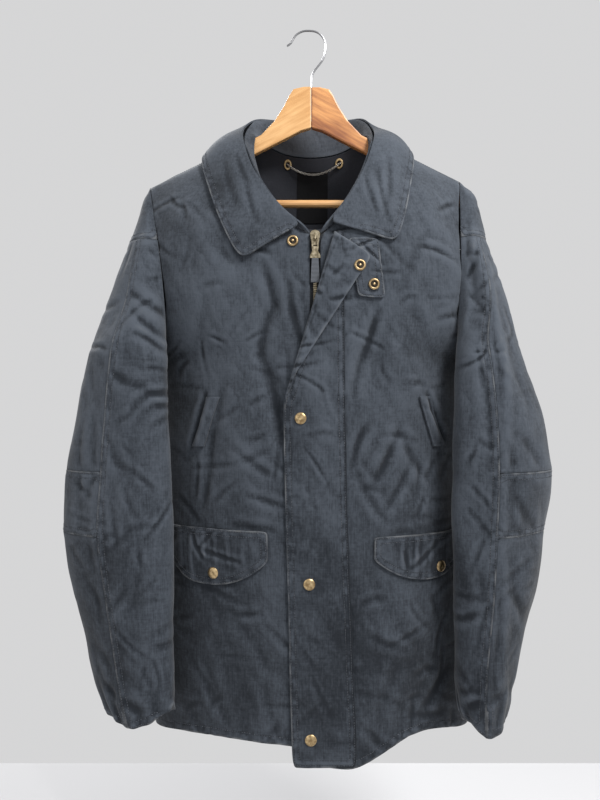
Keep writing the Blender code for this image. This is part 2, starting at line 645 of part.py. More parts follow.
def build_cloth(cloth):
    """The two fronts, the back and the ten sleeve pieces, as walls of one sewn surface."""
    fronts = {side: front_grid(side) for side in (LEFT, RIGHT)}
    back = back_grid()
    patches = {"back": (back, -1)}
    for side in (LEFT, RIGHT):
        front = fronts[side]
        snap_seam(front, -1, ROWS_BELOW)
        for j in range(1, FRONT_COLUMNS, 2):
            front[-1, j] = (front[-1, j - 1] + front[-1, j + 1]) / 2
        front_arm = front[ROWS_BELOW:, -1]
        back_arm = back[ROWS_BELOW // 2:, 0 if side == LEFT else -1]
        sleeve = sleeve_grid(side, front_arm, back_arm)
        name = SIDE_NAME[side]
        patches[f"front_{name}"] = (front, side)
        levels = np.round(sleeve[:, SEAM_COLUMN, 2], 3)
        cap = int(np.argmin(np.abs(levels - CAP_LEVEL)))
        low, high = (int(np.argmin(np.abs(levels - z))) for z in sorted(ELBOW_LEVELS))
        patches[f"sleeve_cap_{name}"] = (sleeve[cap:], side)
        patches[f"sleeve_top_{name}"] = (sleeve[:cap + 1, :SEAM_COLUMN + 1], side)
        patches[f"sleeve_under_{name}"] = (sleeve[high:cap + 1, SEAM_COLUMN:], side)
        patches[f"sleeve_elbow_{name}"] = (sleeve[low:high + 1, SEAM_COLUMN:], side)
        patches[f"sleeve_lower_{name}"] = (sleeve[:low + 1, SEAM_COLUMN:], side)
    normals = shared_normals(patches)
    for side in (LEFT, RIGHT):
        name = SIDE_NAME[side]
        n = normals[f"front_{name}"]
        for i in range(1, ROWS_BELOW, 2):
            n[i, -1] = unit(n[i - 1, -1] + n[i + 1, -1])
        for j in range(1, FRONT_COLUMNS, 2):
            n[-1, j] = unit(n[-1, j - 1] + n[-1, j + 1])
        n = normals[f"sleeve_cap_{name}"]
        middle, last = SLEEVE_COLUMNS // 2, SLEEVE_COLUMNS
        for j in range(1, last):
            first, second = (0, middle) if j < middle else (middle, last)
            share = (j - first) / (second - first)
            n[-1, j] = unit(n[-1, first] * (1 - share) + n[-1, second] * share)
    made = {}
    for name, (grid, _) in patches.items():
        thick = SLEEVE_WALL if name.startswith("sleeve") else BODY_WALL
        move = draw_in(grid, SEAM_GAP)
        outer = grid + move
        made[name] = wall(name, outer, outer - normals[name] * thick, cloth)
    return made


# ---------------------------------------------------------------- collar
def neck_points(side):
    """Neckline of one side from the front end to the centre back."""
    front = np.array(FRONT_EDGE[6:], float)
    front[0, 0] = side * (ZIP_X + side * ZIP_OPENING / 2)
    points = np.vstack([front, np.array(BACK_NECK, float)[-2::-1]])
    return points * (side, 1, 1)


def collar_lines(side, places):
    """(roll line, outer edge, bow) of one side at places from 0 (centre back) to 1 (front end)."""
    table = np.array(COLLAR[side], float)
    values = smooth(table[:, 0], table[:, 1:], places)
    return values[:, 0:3] * (side, 1, 1), values[:, 3:6] * (side, 1, 1), values[:, 6]


def both_sides(one_side):
    """One array from two: the left side from front to centre back, then the right to its front."""
    return np.concatenate([one_side(LEFT)[::-1], one_side(RIGHT)[1:]])


def build_collar(cloth, trees):
    neck = both_sides(lambda side: neck_points(side)[::-1])

    roll = both_sides(lambda side: collar_lines(side, NECK_PLACES)[0])
    up = unit(roll - neck)
    shares = np.array([0, 0.5, 1])[:, None, None]
    foot, head = neck + up, roll - up * STAND_SHORT
    grid = foot + (head - foot) * shares
    normal = grid_normals(grid)
    normal *= np.sign(np.sum(normal * unit(grid * (1, 1, 0)), axis=2))[:, :, None]
    stand = wall("collar_stand", grid, grid - normal * COLLAR_WALL, cloth)

    places = np.linspace(0, 1, COLLAR_COLUMNS + 1) ** 0.85
    roll, edge, bow = (both_sides(lambda side, k=k: collar_lines(side, places)[k]) for k in range(3))
    across = np.gradient(roll + edge, axis=0)
    out = unit(np.cross(edge - roll, across))
    out *= np.sign(np.sum(out * (0, 0, 1) + out * unit(edge * (1, 1, 0)), axis=1))[:, None]
    start = roll + out * FALL_CLEAR[0] + (0, 0, FALL_CLEAR[1])
    s = np.linspace(0, 1, COLLAR_ROWS + 1)[:, None, None]
    grid = start + (edge - start) * s + out * (bow[:, None] * 4 * s * (1 - s))
    for point in grid.reshape(-1, 3):
        if point[1] < -SHOULDER_BEHIND:
            met = front_of(trees, point[0], point[2])
            if met:
                point[1] = min(point[1], met[0] - FALL_OVER_FRONT)
    normal = grid_normals(grid)
    normal *= np.sign(np.sum(normal * out[None], axis=2))[:, :, None]
    fall = wall("collar_fall", grid + normal * COLLAR_WALL, grid, cloth)
    return stand, fall


# ---------------------------------------------------------------- pieces that lie on the fronts
def lie_on(trees, x, z, gap=LIE_GAP):
    """Points in front of the panels at (x, z), which are arrays of one shape."""
    points = np.zeros(x.shape + (3,))
    for index in np.ndindex(x.shape):
        met = front_of(trees, x[index], z[index])
        if met is None:
            met = (points[index[0], index[1] - 1, 1] + gap, None)
        points[index] = (x[index], met[0] - gap, z[index])
    return points


def curl(points):
    """Fold back what lies left of the fold line, round a soft roll, as a page is turned."""
    top, end = np.array(FOLD_TOP), np.array(FOLD_END)
    down = unit(end - top)
    left = np.array([down[1], -down[0]])
    if left[0] > 0:
        left = -left
    flat = points[..., [0, 2]] - top
    past = flat @ left
    along = flat @ down
    turned = past / FOLD_R
    half_turn = math.pi * FOLD_R
    offset = np.where(past < 0, past, np.where(turned < math.pi, FOLD_R * np.sin(turned), half_turn - past))
    lift = np.where(past < 0, 0, np.where(turned < math.pi, FOLD_R * (1 - np.cos(turned)), 2 * FOLD_R))
    flat = along[..., None] * down + offset[..., None] * left + top
    return np.stack([flat[..., 0], points[..., 1] - lift, flat[..., 1]], axis=-1)


def flap_columns(seam, free, z):
    """Where the flap's columns stand on each row: even low down, and following the fold above."""
    before, round_roll, past = FOLD_COLUMNS
    (x_top, z_top), (x_end, z_end) = FOLD_TOP, FOLD_END
    slope = (x_top - x_end) / (z_top - z_end)
    fold = x_top + (z - z_top) * slope
    rolled = fold - math.pi * FOLD_R * math.hypot(1, slope)
    places = np.array([seam, fold, rolled, free])
    share = np.interp(np.arange(sum(FOLD_COLUMNS) + 1),
                      (0, before, before + round_roll, sum(FOLD_COLUMNS)), range(4))
    k = np.minimum(share.astype(int), 2)
    shaped = places[k].T + (places[k + 1] - places[k]).T * (share - k)
    shaped = np.maximum(shaped, free[:, None] + 0.8 * np.arange(len(share))[::-1])
    even = seam[:, None] + (free - seam)[:, None] * np.linspace(0, 1, len(share))
    near = np.clip((z - z_end + 60) / 60, 0, 1)[:, None]
    return even * (1 - near) + shaped * near


def build_storm_flap(cloth, trees):
    z = np.concatenate([np.linspace(-984, -590, 9), np.linspace(-552, -299, 19)])
    seam, free = by_height(STORM_FLAP, z).T
    x = flap_columns(seam, free, z)
    level = np.repeat(z[:, None], x.shape[1], axis=1)
    aside = np.where(np.abs(x - ZIP_X) < 9, ZIP_X + np.where(x < ZIP_X, -9, 9), x)
    grid = lie_on(trees, aside, level, STORM_GAP)
    grid[..., 0] = x
    grid[..., 1] = np.minimum(grid[..., 1], grid[..., 1].min(axis=1, keepdims=True) + 1.5)
    grid = curl(grid)
    normal = grid_normals(grid)
    normal *= np.sign(-normal[0, 0, 1])
    return wall("storm_flap", grid + normal * TRIM_WALL, grid, cloth)


def build_pocket_flap(side, cloth, trees):
    size = POCKET_FLAPS[side]
    u = np.linspace(-1, 1, FLAP_COLUMNS + 1)
    v = np.linspace(0, 1, FLAP_ROWS + 1)[:, None]
    run = u * size["half"]
    x = size["centre"] + run
    past = np.clip(np.abs(x) - FLAP_TURN, 0, None)
    x = x - np.sign(x) * past * (1 - FLAP_CROWD)
    depth = size["corner"] + (size["middle"] - size["corner"]) * np.clip(1 - np.abs(u) ** 2.2, 0, 1)
    z = size["top"] + (depth - size["top"]) * v
    grid = lie_on(trees, np.repeat(x[None], len(v), axis=0), z)
    normal = grid_normals(grid)
    normal *= np.sign(-normal[0, len(u) // 2, 1])
    return wall(f"pocket_flap_{SIDE_NAME[side]}", grid + normal * TRIM_WALL, grid, cloth)


def build_welt(side, cloth, trees):
    size = WELTS[side]
    top, bottom = np.array(size["top"], float), np.array(size["bottom"], float)
    t = np.linspace(0, 1, 7)[:, None]
    u = np.linspace(0, 1, 3)
    x = top[0] + (bottom[0] - top[0]) * t + size["width"] * u
    z = top[1] + (bottom[1] - top[1]) * t + 0 * u
    grid = lie_on(trees, x, z)
    normal = grid_normals(grid)
    normal *= np.sign(-normal[0, 0, 1])
    return wall(f"welt_{SIDE_NAME[side]}", grid + normal * TRIM_WALL, grid, cloth)


def build_throat_tab(cloth, trees):
    (left_top, right_top, z_top), (left_low, right_low, z_low) = THROAT_TAB["top"], THROAT_TAB["bottom"]
    v = np.linspace(0, 1, 9)[:, None]
    u = np.linspace(0, 1, 5)
    left, right = left_top + (left_low - left_top) * v, right_top + (right_low - right_top) * v
    x = left + (right - left) * u
    z = z_top + (z_low - z_top) * v + 4 * np.clip(0.5 - u, 0, 1) * v
    grid = lie_on(trees, x, z)
    normal = grid_normals(grid)
    normal *= np.sign(-normal[0, 0, 1])
    return wall("throat_tab", grid + normal * TRIM_WALL, grid, cloth)


# ---------------------------------------------------------------- metal on the cloth
def turned(name, profile, steps, finish):
    """A solid turned round its own Z axis from a closed profile of (radius, height), millimetres."""
    bm = bmesh.new()
    verts = [bm.verts.new((r * MM, 0, h * MM)) for r, h in profile]
    for a, b in zip(verts, verts[1:]):
        bm.edges.new((a, b))
    mesh = bpy.data.meshes.new(name)
    bm.to_mesh(mesh)
    bm.free()
    made = add_object(name, mesh, finish)
    screw = made.modifiers.new("Turn", "SCREW")
    screw.steps = screw.render_steps = steps
    screw.use_merge_vertices = True
    screw.merge_threshold = 0.00001
    return made


CAP_PROFILE = [(0, 2.3), (3.5, 2.1), (6.3, 1.2), (SNAP_R, 0.3), (SNAP_R, 0), (0, 0)]
RING_PROFILE = [(0, 2.4), (1.6, 2.2), (1.9, 0.9), (4.2, 0.9), (5.0, 2.2), (6.4, 2.3), (SNAP_R, 1.0),
                (SNAP_R, 0), (0, 0)]


def seat(obj, tree, place, axis, radius, back_face=0.0):
    """Set a round piece on the cloth at `place` with its axis along `axis`, just clear of it."""
    axis = axis.normalized()
    turn = axis.to_track_quat("Z", "Y")
    high = 0.0
    for k in range(16):
        for r in (0.5 * radius, radius):
            rim = turn @ Vector((r * math.cos(k * math.pi / 8), r * math.sin(k * math.pi / 8), 0))
            met = tree.ray_cast((place + rim + axis * 12) * MM, -axis, 24 * MM)
            if met[0] is not None:
                high = max(high, 12 - met[3] / MM)
    obj.rotation_euler = turn.to_euler()
    obj.location = (place + axis * (high + SEAT_GAP + back_face)) * MM


def build_snaps(brass, made):
    for name, (carrier, x, z, kind) in SNAPS.items():
        tree = tree_of(made[carrier])
        y, normal = front_of([tree], x, z)
        snap = turned(name, CAP_PROFILE if kind == "cap" else RING_PROFILE, 14, brass)
        seat(snap, tree, Vector((x, y, z)), normal if normal.y < 0 else -normal, SNAP_R)


def strip(name, x_left, x_right, thick, y_front, levels, finish):
    """A strip down the zip: level heights, with its front face at y_front(z)."""
    y = np.array([y_front(z) for z in levels])
    x = np.array([x_left, x_right], float)
    grid = np.stack(np.broadcast_arrays(x[None], y[:, None], np.array(levels)[:, None]), axis=2)
    return wall(name, grid, grid + (0, thick, 0), finish)


def build_zip(brass, dark, grip_finish):
    """Tapes behind the front edges, teeth between them, and the slider with its hinged pull."""
    heights = np.array([z for z, _ in CENTRE_FRONT_Y] + [row[2] for row in FRONT_EDGE[1:7]], float)
    depths = np.array([y for _, y in CENTRE_FRONT_Y] + [row[1] for row in FRONT_EDGE[1:7]], float)

    def edge_y(z):
        return float(np.interp(z, heights, depths))

    levels = np.linspace(ZIP_BOTTOM, ZIP_TOP, 22)
    reach = ZIP_OPENING / 2 + TAPE_UNDER
    for side in (LEFT, RIGHT):
        near, far = sorted((ZIP_X + side * TAPE_CLEAR, ZIP_X + side * reach))
        strip(f"zip_tape_{SIDE_NAME[side]}", near, far, TAPE_THICK,
              lambda z: edge_y(z) + TAPE_BEHIND, levels, dark)
    levels = np.linspace(TOOTH_BOTTOM, TOOTH_TOP, 20)
    strip("zip_teeth", ZIP_X - TEETH_HALF, ZIP_X + TEETH_HALF, TEETH_THICK,
          lambda z: edge_y(z) + TEETH_BEHIND, levels, brass)

    face = edge_y(PULL_HINGE_Z) - SLIDER_PROUD
    body = outline("zip_slider", SLIDER, SLIDER_THICK, brass)
    place_flat(body, ZIP_X, face + SLIDER_THICK / 2, PULL_HINGE_Z)
    arch = [(ZIP_X, face + y, PULL_HINGE_Z + z) for y, z in BRIDGE]
    bridge = curve_object("bridge", arch, BRIDGE_R, brass, 2)
    join_by_boolean(body, bridge)
    tab = outline("zip_pull_tab", TAB, TAB_THICK, brass, TAB_HOLE)
    grip = outline("zip_pull_grip", GRIP, GRIP_THICK, grip_finish)
    for piece in (tab, grip):
        place_flat(piece, ZIP_X, face - PULL_PROUD, PULL_HINGE_Z)


def outline(name, points, thick, finish, hole=None):
    """A flat plate from an outline in (x, z), `thick` millimetres deep, as a mesh object."""
    data = bpy.data.curves.new(name, "CURVE")
    data.dimensions = "2D"
    data.fill_mode = "BOTH"
    data.extrude = thick / 2 * MM
    for loop in [points] + ([hole] if hole else []):
        spline = data.splines.new("POLY")
        spline.points.add(len(loop) - 1)
        for point, (x, z) in zip(spline.points, loop):
            point.co = (x * MM, z * MM, 0, 1)
        spline.use_cyclic_u = True
    curve = bpy.data.objects.new(name + "_curve", data)
    COLLECTION.objects.link(curve)
    return as_mesh(curve, name, finish)


def as_mesh(curve, name, finish):
    """Turn a curve object into a welded mesh object and remove the curve."""
    bpy.context.view_layer.update()
    evaluated = curve.evaluated_get(bpy.context.evaluated_depsgraph_get())
    mesh = bpy.data.meshes.new_from_object(evaluated)
    bm = bmesh.new()
    bm.from_mesh(mesh)
    bmesh.ops.remove_doubles(bm, verts=bm.verts, dist=0.00001)
    bmesh.ops.recalc_face_normals(bm, faces=bm.faces)
    bm.to_mesh(mesh)
    bm.free()
    mesh.name = name
    mesh.materials.clear()
    made = add_object(name, mesh, finish)
    made.matrix_world = curve.matrix_world
    bpy.data.objects.remove(curve, do_unlink=True)
    return made


def place_flat(obj, x, y, z):
    """Stand a plate made in its own XY plane up in the XZ plane, facing -Y."""
    obj.rotation_euler = (math.radians(90), 0, 0)
    obj.location = (x * MM, y * MM, z * MM)


def curve_object(name, points, radius, finish, resolution=3):
    """A round bar through the points, millimetres, as a welded mesh object."""
    data = bpy.data.curves.new(name, "CURVE")
    data.dimensions = "3D"
    data.bevel_depth = radius * MM
    data.bevel_resolution = resolution
    data.use_fill_caps = True
    spline = data.splines.new("POLY")
    spline.points.add(len(points) - 1)
    for point, place in zip(spline.points, points):
        point.co = (*(Vector(place) * MM), 1)
    curve = bpy.data.objects.new(name + "_curve", data)
    COLLECTION.objects.link(curve)
    return as_mesh(curve, name, finish)


def join_by_boolean(obj, tool):
    """Unite `tool` with `obj`; the tool stays as a hidden helper."""
    COLLECTION.objects.unlink(tool)
    HELPERS.objects.link(tool)
    tool.hide_render = True
    tool.display_type = "WIRE"
    union = obj.modifiers.new("Bridge", "BOOLEAN")
    union.operation = "UNION"
    union.object = tool


def build_neck_trim(label_finish, brass, back):
    """Plain label, two eyelets and the hanging chain on the inside of the back neck."""
    tree = tree_of(back)

    def inside(x, z):
        place, normal, _, _ = tree.ray_cast(Vector((x, 0, z)) * MM, Vector((0, 1, 0)))
        return place / MM, normal

    u = np.linspace(*LABEL_X, 4)
    v = np.linspace(*LABEL_Z, 6)
    grid = np.array([[inside(x, z)[0] - Vector((0, LABEL_BEHIND, 0)) for x in u] for z in v])
    wall("label", grid, grid - (0, LABEL_THICK, 0), label_finish)
    ends = []
    for name, (x, z) in zip(("eyelet_left", "eyelet_right"), EYELETS):
        bpy.ops.mesh.primitive_torus_add(major_radius=EYELET_R * MM, minor_radius=EYELET_WIRE * MM,
                                         major_segments=14, minor_segments=6)
        ring = bpy.context.object
        ring.name = ring.data.name = name
        ring.scale = (1, EYELET_LONG, EYELET_FLAT)
        place, normal = inside(x, z)
        seat(ring, tree, place, normal if normal.y < 0 else -normal,
             EYELET_R * EYELET_LONG + 1, EYELET_WIRE * EYELET_FLAT)
        ends.append(ring.location / MM - Vector((0, CHAIN_FORWARD, 0)))
        for collection in list(ring.users_collection):
            collection.objects.unlink(ring)
        COLLECTION.objects.link(ring)
        ring.data.materials.append(brass)
    first, last = ends
    points = []
    for k in range(13):
        t = k / 12
        points.append(first.lerp(last, t) - Vector((0, 0, CHAIN_SAG * 4 * t * (1 - t))))
    curve_object("hanging_chain", points, CHAIN_R, brass, 1)


# ---------------------------------------------------------------- hanger
def build_hanger(light_wood, dark_wood, steel):
    for side, finish in ((LEFT, light_wood), (RIGHT, dark_wood)):
        points = [(side * max(x, 0.2), z) for x, z in HANGER_HALF]
        half = outline(f"hanger_arm_{SIDE_NAME[side]}", points, HANGER_THICK, finish)
        place_flat(half, 0, 0, 0)
        bevel = half.modifiers.new("Round", "BEVEL")
        bevel.width = HANGER_ROUND * MM
        bevel.segments = 2
        bevel.limit_method = "ANGLE"
        bevel.angle_limit = math.radians(60)
    bpy.ops.mesh.primitive_cylinder_add(vertices=14, radius=BAR_R * MM, depth=2 * BAR_HALF * MM)
    bar = bpy.context.object
    bar.name = bar.data.name = "hanger_bar"
    bar.rotation_euler = (0, math.radians(90), 0)
    bar.location = (0, 0, BAR_Z * MM)
    for collection in list(bar.users_collection):
        collection.objects.unlink(bar)
    COLLECTION.objects.link(bar)
    bar.data.materials.append(light_wood)
    knots = np.arange(len(HOOK))
    fine = smooth(knots, np.array(HOOK, float), np.linspace(0, len(HOOK) - 1, 31))
    hook = curve_object("hanger_hook", [(x, 0, z) for x, z in fine], WIRE_R, steel, 2)
    shade_round(hook.data)


def main():
    start_clean()
    cloth = material("slate_cotton", (0.075, 0.09, 0.115), 0.92)
    dark = material("zip_tape", (0.02, 0.022, 0.028), 0.9)
    label_finish = material("black_label", (0.008, 0.008, 0.009), 0.8)
    brass = material("brass", (0.62, 0.45, 0.22), 0.35, 1.0)
    steel = material("hook_wire", (0.5, 0.5, 0.5), 0.3, 1.0)
    light_wood = material("light_wood", (0.68, 0.5, 0.32), 0.5)
    dark_wood = material("dark_wood", (0.55, 0.33, 0.16), 0.5)
    grip_finish = material("pull_grip", (0.12, 0.14, 0.18), 0.7)

    made = build_cloth(cloth)
    front_trees = [tree_of(made["front_left"]), tree_of(made["front_right"])]
    made["collar_stand"], made["collar_fall"] = build_collar(cloth, front_trees)
    made["storm_flap"] = build_storm_flap(cloth, front_trees)
    made["throat_tab"] = build_throat_tab(cloth, front_trees)
    for side in (LEFT, RIGHT):
        name = SIDE_NAME[side]
        made[f"pocket_flap_{name}"] = build_pocket_flap(side, cloth, front_trees)
        made[f"welt_{name}"] = build_welt(side, cloth, front_trees)
    build_snaps(brass, made)
    build_zip(brass, dark, grip_finish)
    build_neck_trim(label_finish, brass, made["back"])
    build_hanger(light_wood, dark_wood, steel)


main()
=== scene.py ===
"""Field jacket of slate woven cotton, zipped up, with its collar, storm flap and throat tab open.

It hangs on a two-part wooden hanger with a wire hook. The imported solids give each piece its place
and form; this script adds the finer cloth with its creases and wear, the sewing, and the metal.
Metres, +Z up; tables are in millimetres, and left and right are the viewer's.
"""
import math

import bmesh
import bpy
import numpy as np
from mathutils import Matrix, Vector, noise
from mathutils.kdtree import KDTree


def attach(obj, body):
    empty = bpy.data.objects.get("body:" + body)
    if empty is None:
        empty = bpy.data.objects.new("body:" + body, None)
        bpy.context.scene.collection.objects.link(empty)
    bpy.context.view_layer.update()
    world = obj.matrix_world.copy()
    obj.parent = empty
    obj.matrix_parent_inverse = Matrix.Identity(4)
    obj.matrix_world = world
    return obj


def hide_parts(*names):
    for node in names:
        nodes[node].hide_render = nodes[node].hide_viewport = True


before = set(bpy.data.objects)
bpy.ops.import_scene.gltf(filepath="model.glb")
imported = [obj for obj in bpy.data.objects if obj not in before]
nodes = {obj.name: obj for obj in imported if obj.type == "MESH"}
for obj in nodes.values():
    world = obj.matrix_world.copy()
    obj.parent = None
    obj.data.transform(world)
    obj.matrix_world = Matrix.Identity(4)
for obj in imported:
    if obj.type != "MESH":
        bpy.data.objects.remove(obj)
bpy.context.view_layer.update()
JACKET, PULL = "jacket_and_hanger", "zip_pull"
MM = 0.001
SIDES = {"left": -1, "right": 1}


# ---------------------------------------------------------------- the view
# A pale floor, soft light from large panels, and a level camera about a metre in front of the
# jacket, at the height of its middle.
camera_data = bpy.data.cameras.new("front_view")
camera_data.lens, camera_data.sensor_width = 30.5, 36
camera = bpy.data.objects.new("front_view", camera_data)
camera.location = (-0.0158, -0.95, -0.516)
camera.rotation_euler = (math.radians(90), 0, 0)
bpy.context.scene.collection.objects.link(camera)
bpy.context.scene.camera = camera
bpy.context.scene.view_settings.view_transform = "Standard"

world = bpy.data.worlds.new("pale_room")
world.use_nodes = True
world.node_tree.nodes["Background"].inputs["Color"].default_value = (0.67, 0.67, 0.675, 1)
world.node_tree.nodes["Background"].inputs["Strength"].default_value = 1.0
bpy.context.scene.world = world

for name, place, size, watts in (
    # name,       place,               size, watts
    ("key_panel", (0.85, -0.95, 0.85), 0.5, 38),
    ("fill_panel", (-1.6, -1.3, 0.2), 1.2, 6),
    ("back_panel", (-0.9, 1.2, 0.8), 0.6, 34),
):
    light = bpy.data.lights.new(name, "AREA")
    light.size, light.energy = size, watts
    lamp = bpy.data.objects.new(name, light)
    lamp.location = place
    lamp.rotation_euler = (Vector((0, 0, -0.5)) - Vector(place)).to_track_quat("-Z", "Y").to_euler()
    bpy.context.scene.collection.objects.link(lamp)


# ---------------------------------------------------------------- woven cotton
# The shell is a slubby, piece-dyed cotton that has faded on its ridges, folded edges and seams; its
# colour also carries painted light from above and on ridges, and painted shade in valleys, creases,
# grooves and along a sewn side.
# The same cloth makes the body, sleeves, collar, flaps and welts.
class Wire:
    """A number or vector that leaves a shader node; sums and products of it add Math nodes."""

    def __init__(self, finish, socket):
        self.finish, self.socket = finish, socket

    def math(self, operation, *others):
        return self.finish.node("Math", {"operation": operation}, dict(enumerate((self, *others))))

    def __add__(self, other):
        return self.math("ADD", other)

    def __mul__(self, other):
        return self.math("MULTIPLY", other)

    __radd__, __rmul__ = __add__, __mul__

    def __sub__(self, other):
        return self.math("SUBTRACT", other)

    def __rsub__(self, other):
        return (self * -1) + other

    def ramp(self, low, high):
        """0 at low, 1 at high, eased between."""
        return self.finish.node("MapRange", {"interpolation_type": "SMOOTHSTEP"},
                                {"Value": self, "From Min": low, "From Max": high})

    def band(self, centre, width):
        """1 at the centre, 0 from width away."""
        return 1 - (self - centre).math("ABSOLUTE").ramp(0.0, width)


class Finish:
    """A material with one Principled shader; node() adds every other node."""

    def __init__(self, name, **constants):
        self.material = bpy.data.materials.new(name)
        self.material.use_nodes = True
        self.surface = self.material.node_tree.nodes["Principled BSDF"]
        for socket, value in constants.items():
            self.surface.inputs[socket.replace("_", " ")].default_value = value

    def node(self, kind, settings=None, inputs=None, output=0):
        made = self.material.node_tree.nodes.new("ShaderNode" + kind)
        for key, value in (settings or {}).items():
            setattr(made, key, value)
        for key, value in (inputs or {}).items():
            self.plug(made.inputs[key], value)
        return Wire(self, made.outputs[output])

    def plug(self, socket, value):
        if isinstance(value, Wire):
            self.material.node_tree.links.new(value.socket, socket)
        else:
            socket.default_value = value

    def turned(self, place, turn):
        """A place turned about the origin by angles in radians."""
        return self.node("VectorRotate", {"rotation_type": "EULER_XYZ"},
                         {"Vector": place, "Rotation": turn})

    def grain(self, scale, detail=2.0, turn=(0, 0, 0)):
        """Noise with its own number of features to the metre along X, Y and Z."""
        place = self.node("TexCoord", output=3)
        if any(turn):
            place = self.turned(place, turn)
        place = self.node("Mapping", None, {"Vector": place, "Scale": scale})
        return self.node("TexNoise", None, {"Vector": place, "Scale": 1.0, "Detail": detail})

    def facets(self, scale, bend, stretch, turn):
        """Distance from the creases that divide crumpled cloth into long facets, 0 on a crease."""
        place = self.node("TexCoord", output=3)
        wander = self.node("TexNoise", None, {"Vector": place, "Scale": scale * 2}, output=1)
        shift = self.node("VectorMath", {"operation": "MULTIPLY"}, {0: wander, 1: (bend, bend, bend)})
        place = self.node("VectorMath", {"operation": "ADD"}, {0: place, 1: shift})
        place = self.node("Mapping", None, {"Vector": self.turned(place, turn), "Scale": stretch})
        return self.node("TexVoronoi", {"feature": "DISTANCE_TO_EDGE"},
                         {"Vector": place, "Scale": scale})

    def mix(self, share, first, second):
        first, second = ((*c, 1) if isinstance(c, tuple) else c for c in (first, second))
        return self.node("Mix", {"data_type": "RGBA"}, {0: share, 6: first, 7: second}, output=2)

    def finish(self, colour=None, roughness=None, height=None):
        """Plug in what varies over the surface; height is in millimetres."""
        if colour is not None:
            self.plug(self.surface.inputs["Base Color"], colour)
        if roughness is not None:
            self.plug(self.surface.inputs["Roughness"], roughness)
        if height is not None:
            bump = self.node("Bump", None, {"Height": height, "Distance": MM, "Strength": 0.6})
            self.plug(self.surface.inputs["Normal"], bump)
        return self.material


def woven_cotton(name, deep, pale, worn):
    """Cotton that has faded on its ridges and stitched edges.

    It reads the mesh attributes 'seam' (distance from the stitched edge and of both stitch rows),
    'relief' (-1 in valleys, 1 on ridges; it fades the ridges, and paints shade in the valleys and
    light on the ridges) and 'rub' (0 along a sewn side that stays unworn and gets painted shade).
    """
    f = Finish(name, Sheen_Weight=0.12, Sheen_Roughness=0.5, Specular_IOR_Level=0.15)
    seam = f.node("Attribute", {"attribute_name": "seam"}, output=1)
    from_edge, first, second = (f.node("SeparateXYZ", None, {0: seam}, output=k) for k in range(3))
    relief = f.node("Attribute", {"attribute_name": "relief"}, output=2)
    rub = f.node("Attribute", {"attribute_name": "rub"}, output=2)
    # the weave
    slub = f.grain((620, 620, 45), 3)
    weft = f.grain((50, 50, 800), 3)
    thread = f.grain((1500, 1500, 1500), 1)
    mottle = f.grain((260, 260, 220), 4)
    # unevenness of the dye, and painted light from above: lighter towards the shoulders, darker lower
    # down
    cloud = f.grain((12, 12, 9), 4)
    height_up = f.node("SeparateXYZ", None, {0: f.node("TexCoord", output=3)}, output=2)
    painted_light_from_above = height_up.ramp(-0.98, -0.45)
    # crumpled places, with painted shade along their creases and painted light on their facets
    crumpled = f.grain((13, 13, 11), 2).ramp(0.36, 0.62)
    facets = f.facets(34, 0.013, (1.0, 1.0, 0.42), (0, 0.55, 0))
    painted_crease_shade = facets.ramp(0.05, 0.0) * crumpled
    facets = facets.math("MINIMUM", 0.35) * crumpled
    # puckers and grooves along the stitching; in the colour, painted light and shade on the puckers,
    # painted shade in the grooves, and painted shade along a sewn side that stays unworn
    near = from_edge.ramp(15.0, 6.0)
    pucker = (f.grain((125, 125, 125), 1) - 0.5) * near
    groove = ((from_edge - first).band(0.0, 1.0) + (from_edge - second).band(0.0, 1.0)) * near
    painted_seam_shade = (1 - rub) * from_edge.ramp(4.5, 1.0)
    # the tone: the dye's unevenness, with painted light from above and on ridges and facets, and
    # painted shade in valleys, along creases, in grooves, on puckers and along a sewn side
    dye_and_painted_light = (0.2 + painted_light_from_above * 0.34 + (slub - 0.5) * 0.75 + (weft - 0.5) * 0.4 + (thread - 0.5) * 0.3
            + (mottle - 0.5) * 0.75 + (cloud - 0.5) * 1.4 + relief * 1.15 - painted_crease_shade * 0.07
            + facets * 0.25 + pucker * 1.5 - groove * 0.4 - painted_seam_shade * 0.6)
    # worn edges and ridges
    rubbed = f.grain((70, 70, 50), 3)
    edge = from_edge.ramp(2.4, 0.6) * rubbed.ramp(0.38, 0.68) * rub
    ridge = relief.ramp(0.4, 1.0) * rubbed.ramp(0.35, 0.7) * 0.7
    colour = f.mix(dye_and_painted_light.ramp(-0.2, 1.15), deep, pale)
    colour = f.mix((edge + ridge).math("MINIMUM", 1.0) * 0.5, colour, worn)
    height = (slub * 0.3 + weft * 0.2 + thread * 0.2 + mottle * 0.25 + facets * 4.0
              + pucker * 1.6 - groove * 0.9)
    return f.finish(colour, 0.86 + slub * 0.1, height)


SHELL = woven_cotton("shell_cotton", (0.0135, 0.0165, 0.0215), (0.066, 0.077, 0.094),
                     (0.19, 0.195, 0.2))
FACING = woven_cotton("facing_cotton", (0.02, 0.0195, 0.02), (0.088, 0.085, 0.085),
                      (0.22, 0.215, 0.21))

f = Finish("body_lining", Sheen_Weight=0.1, Specular_IOR_Level=0.25)
twill = f.grain((900, 900, 900), 1, (0, 0.8, 0))
cloud = f.grain((14, 14, 9), 3)
LINING = f.finish(f.mix((twill * 0.5 + cloud * 0.5).ramp(0.25, 0.75), (0.01, 0.011, 0.015),
                        (0.026, 0.028, 0.036)), 0.75 + cloud * 0.15, twill * 0.2)


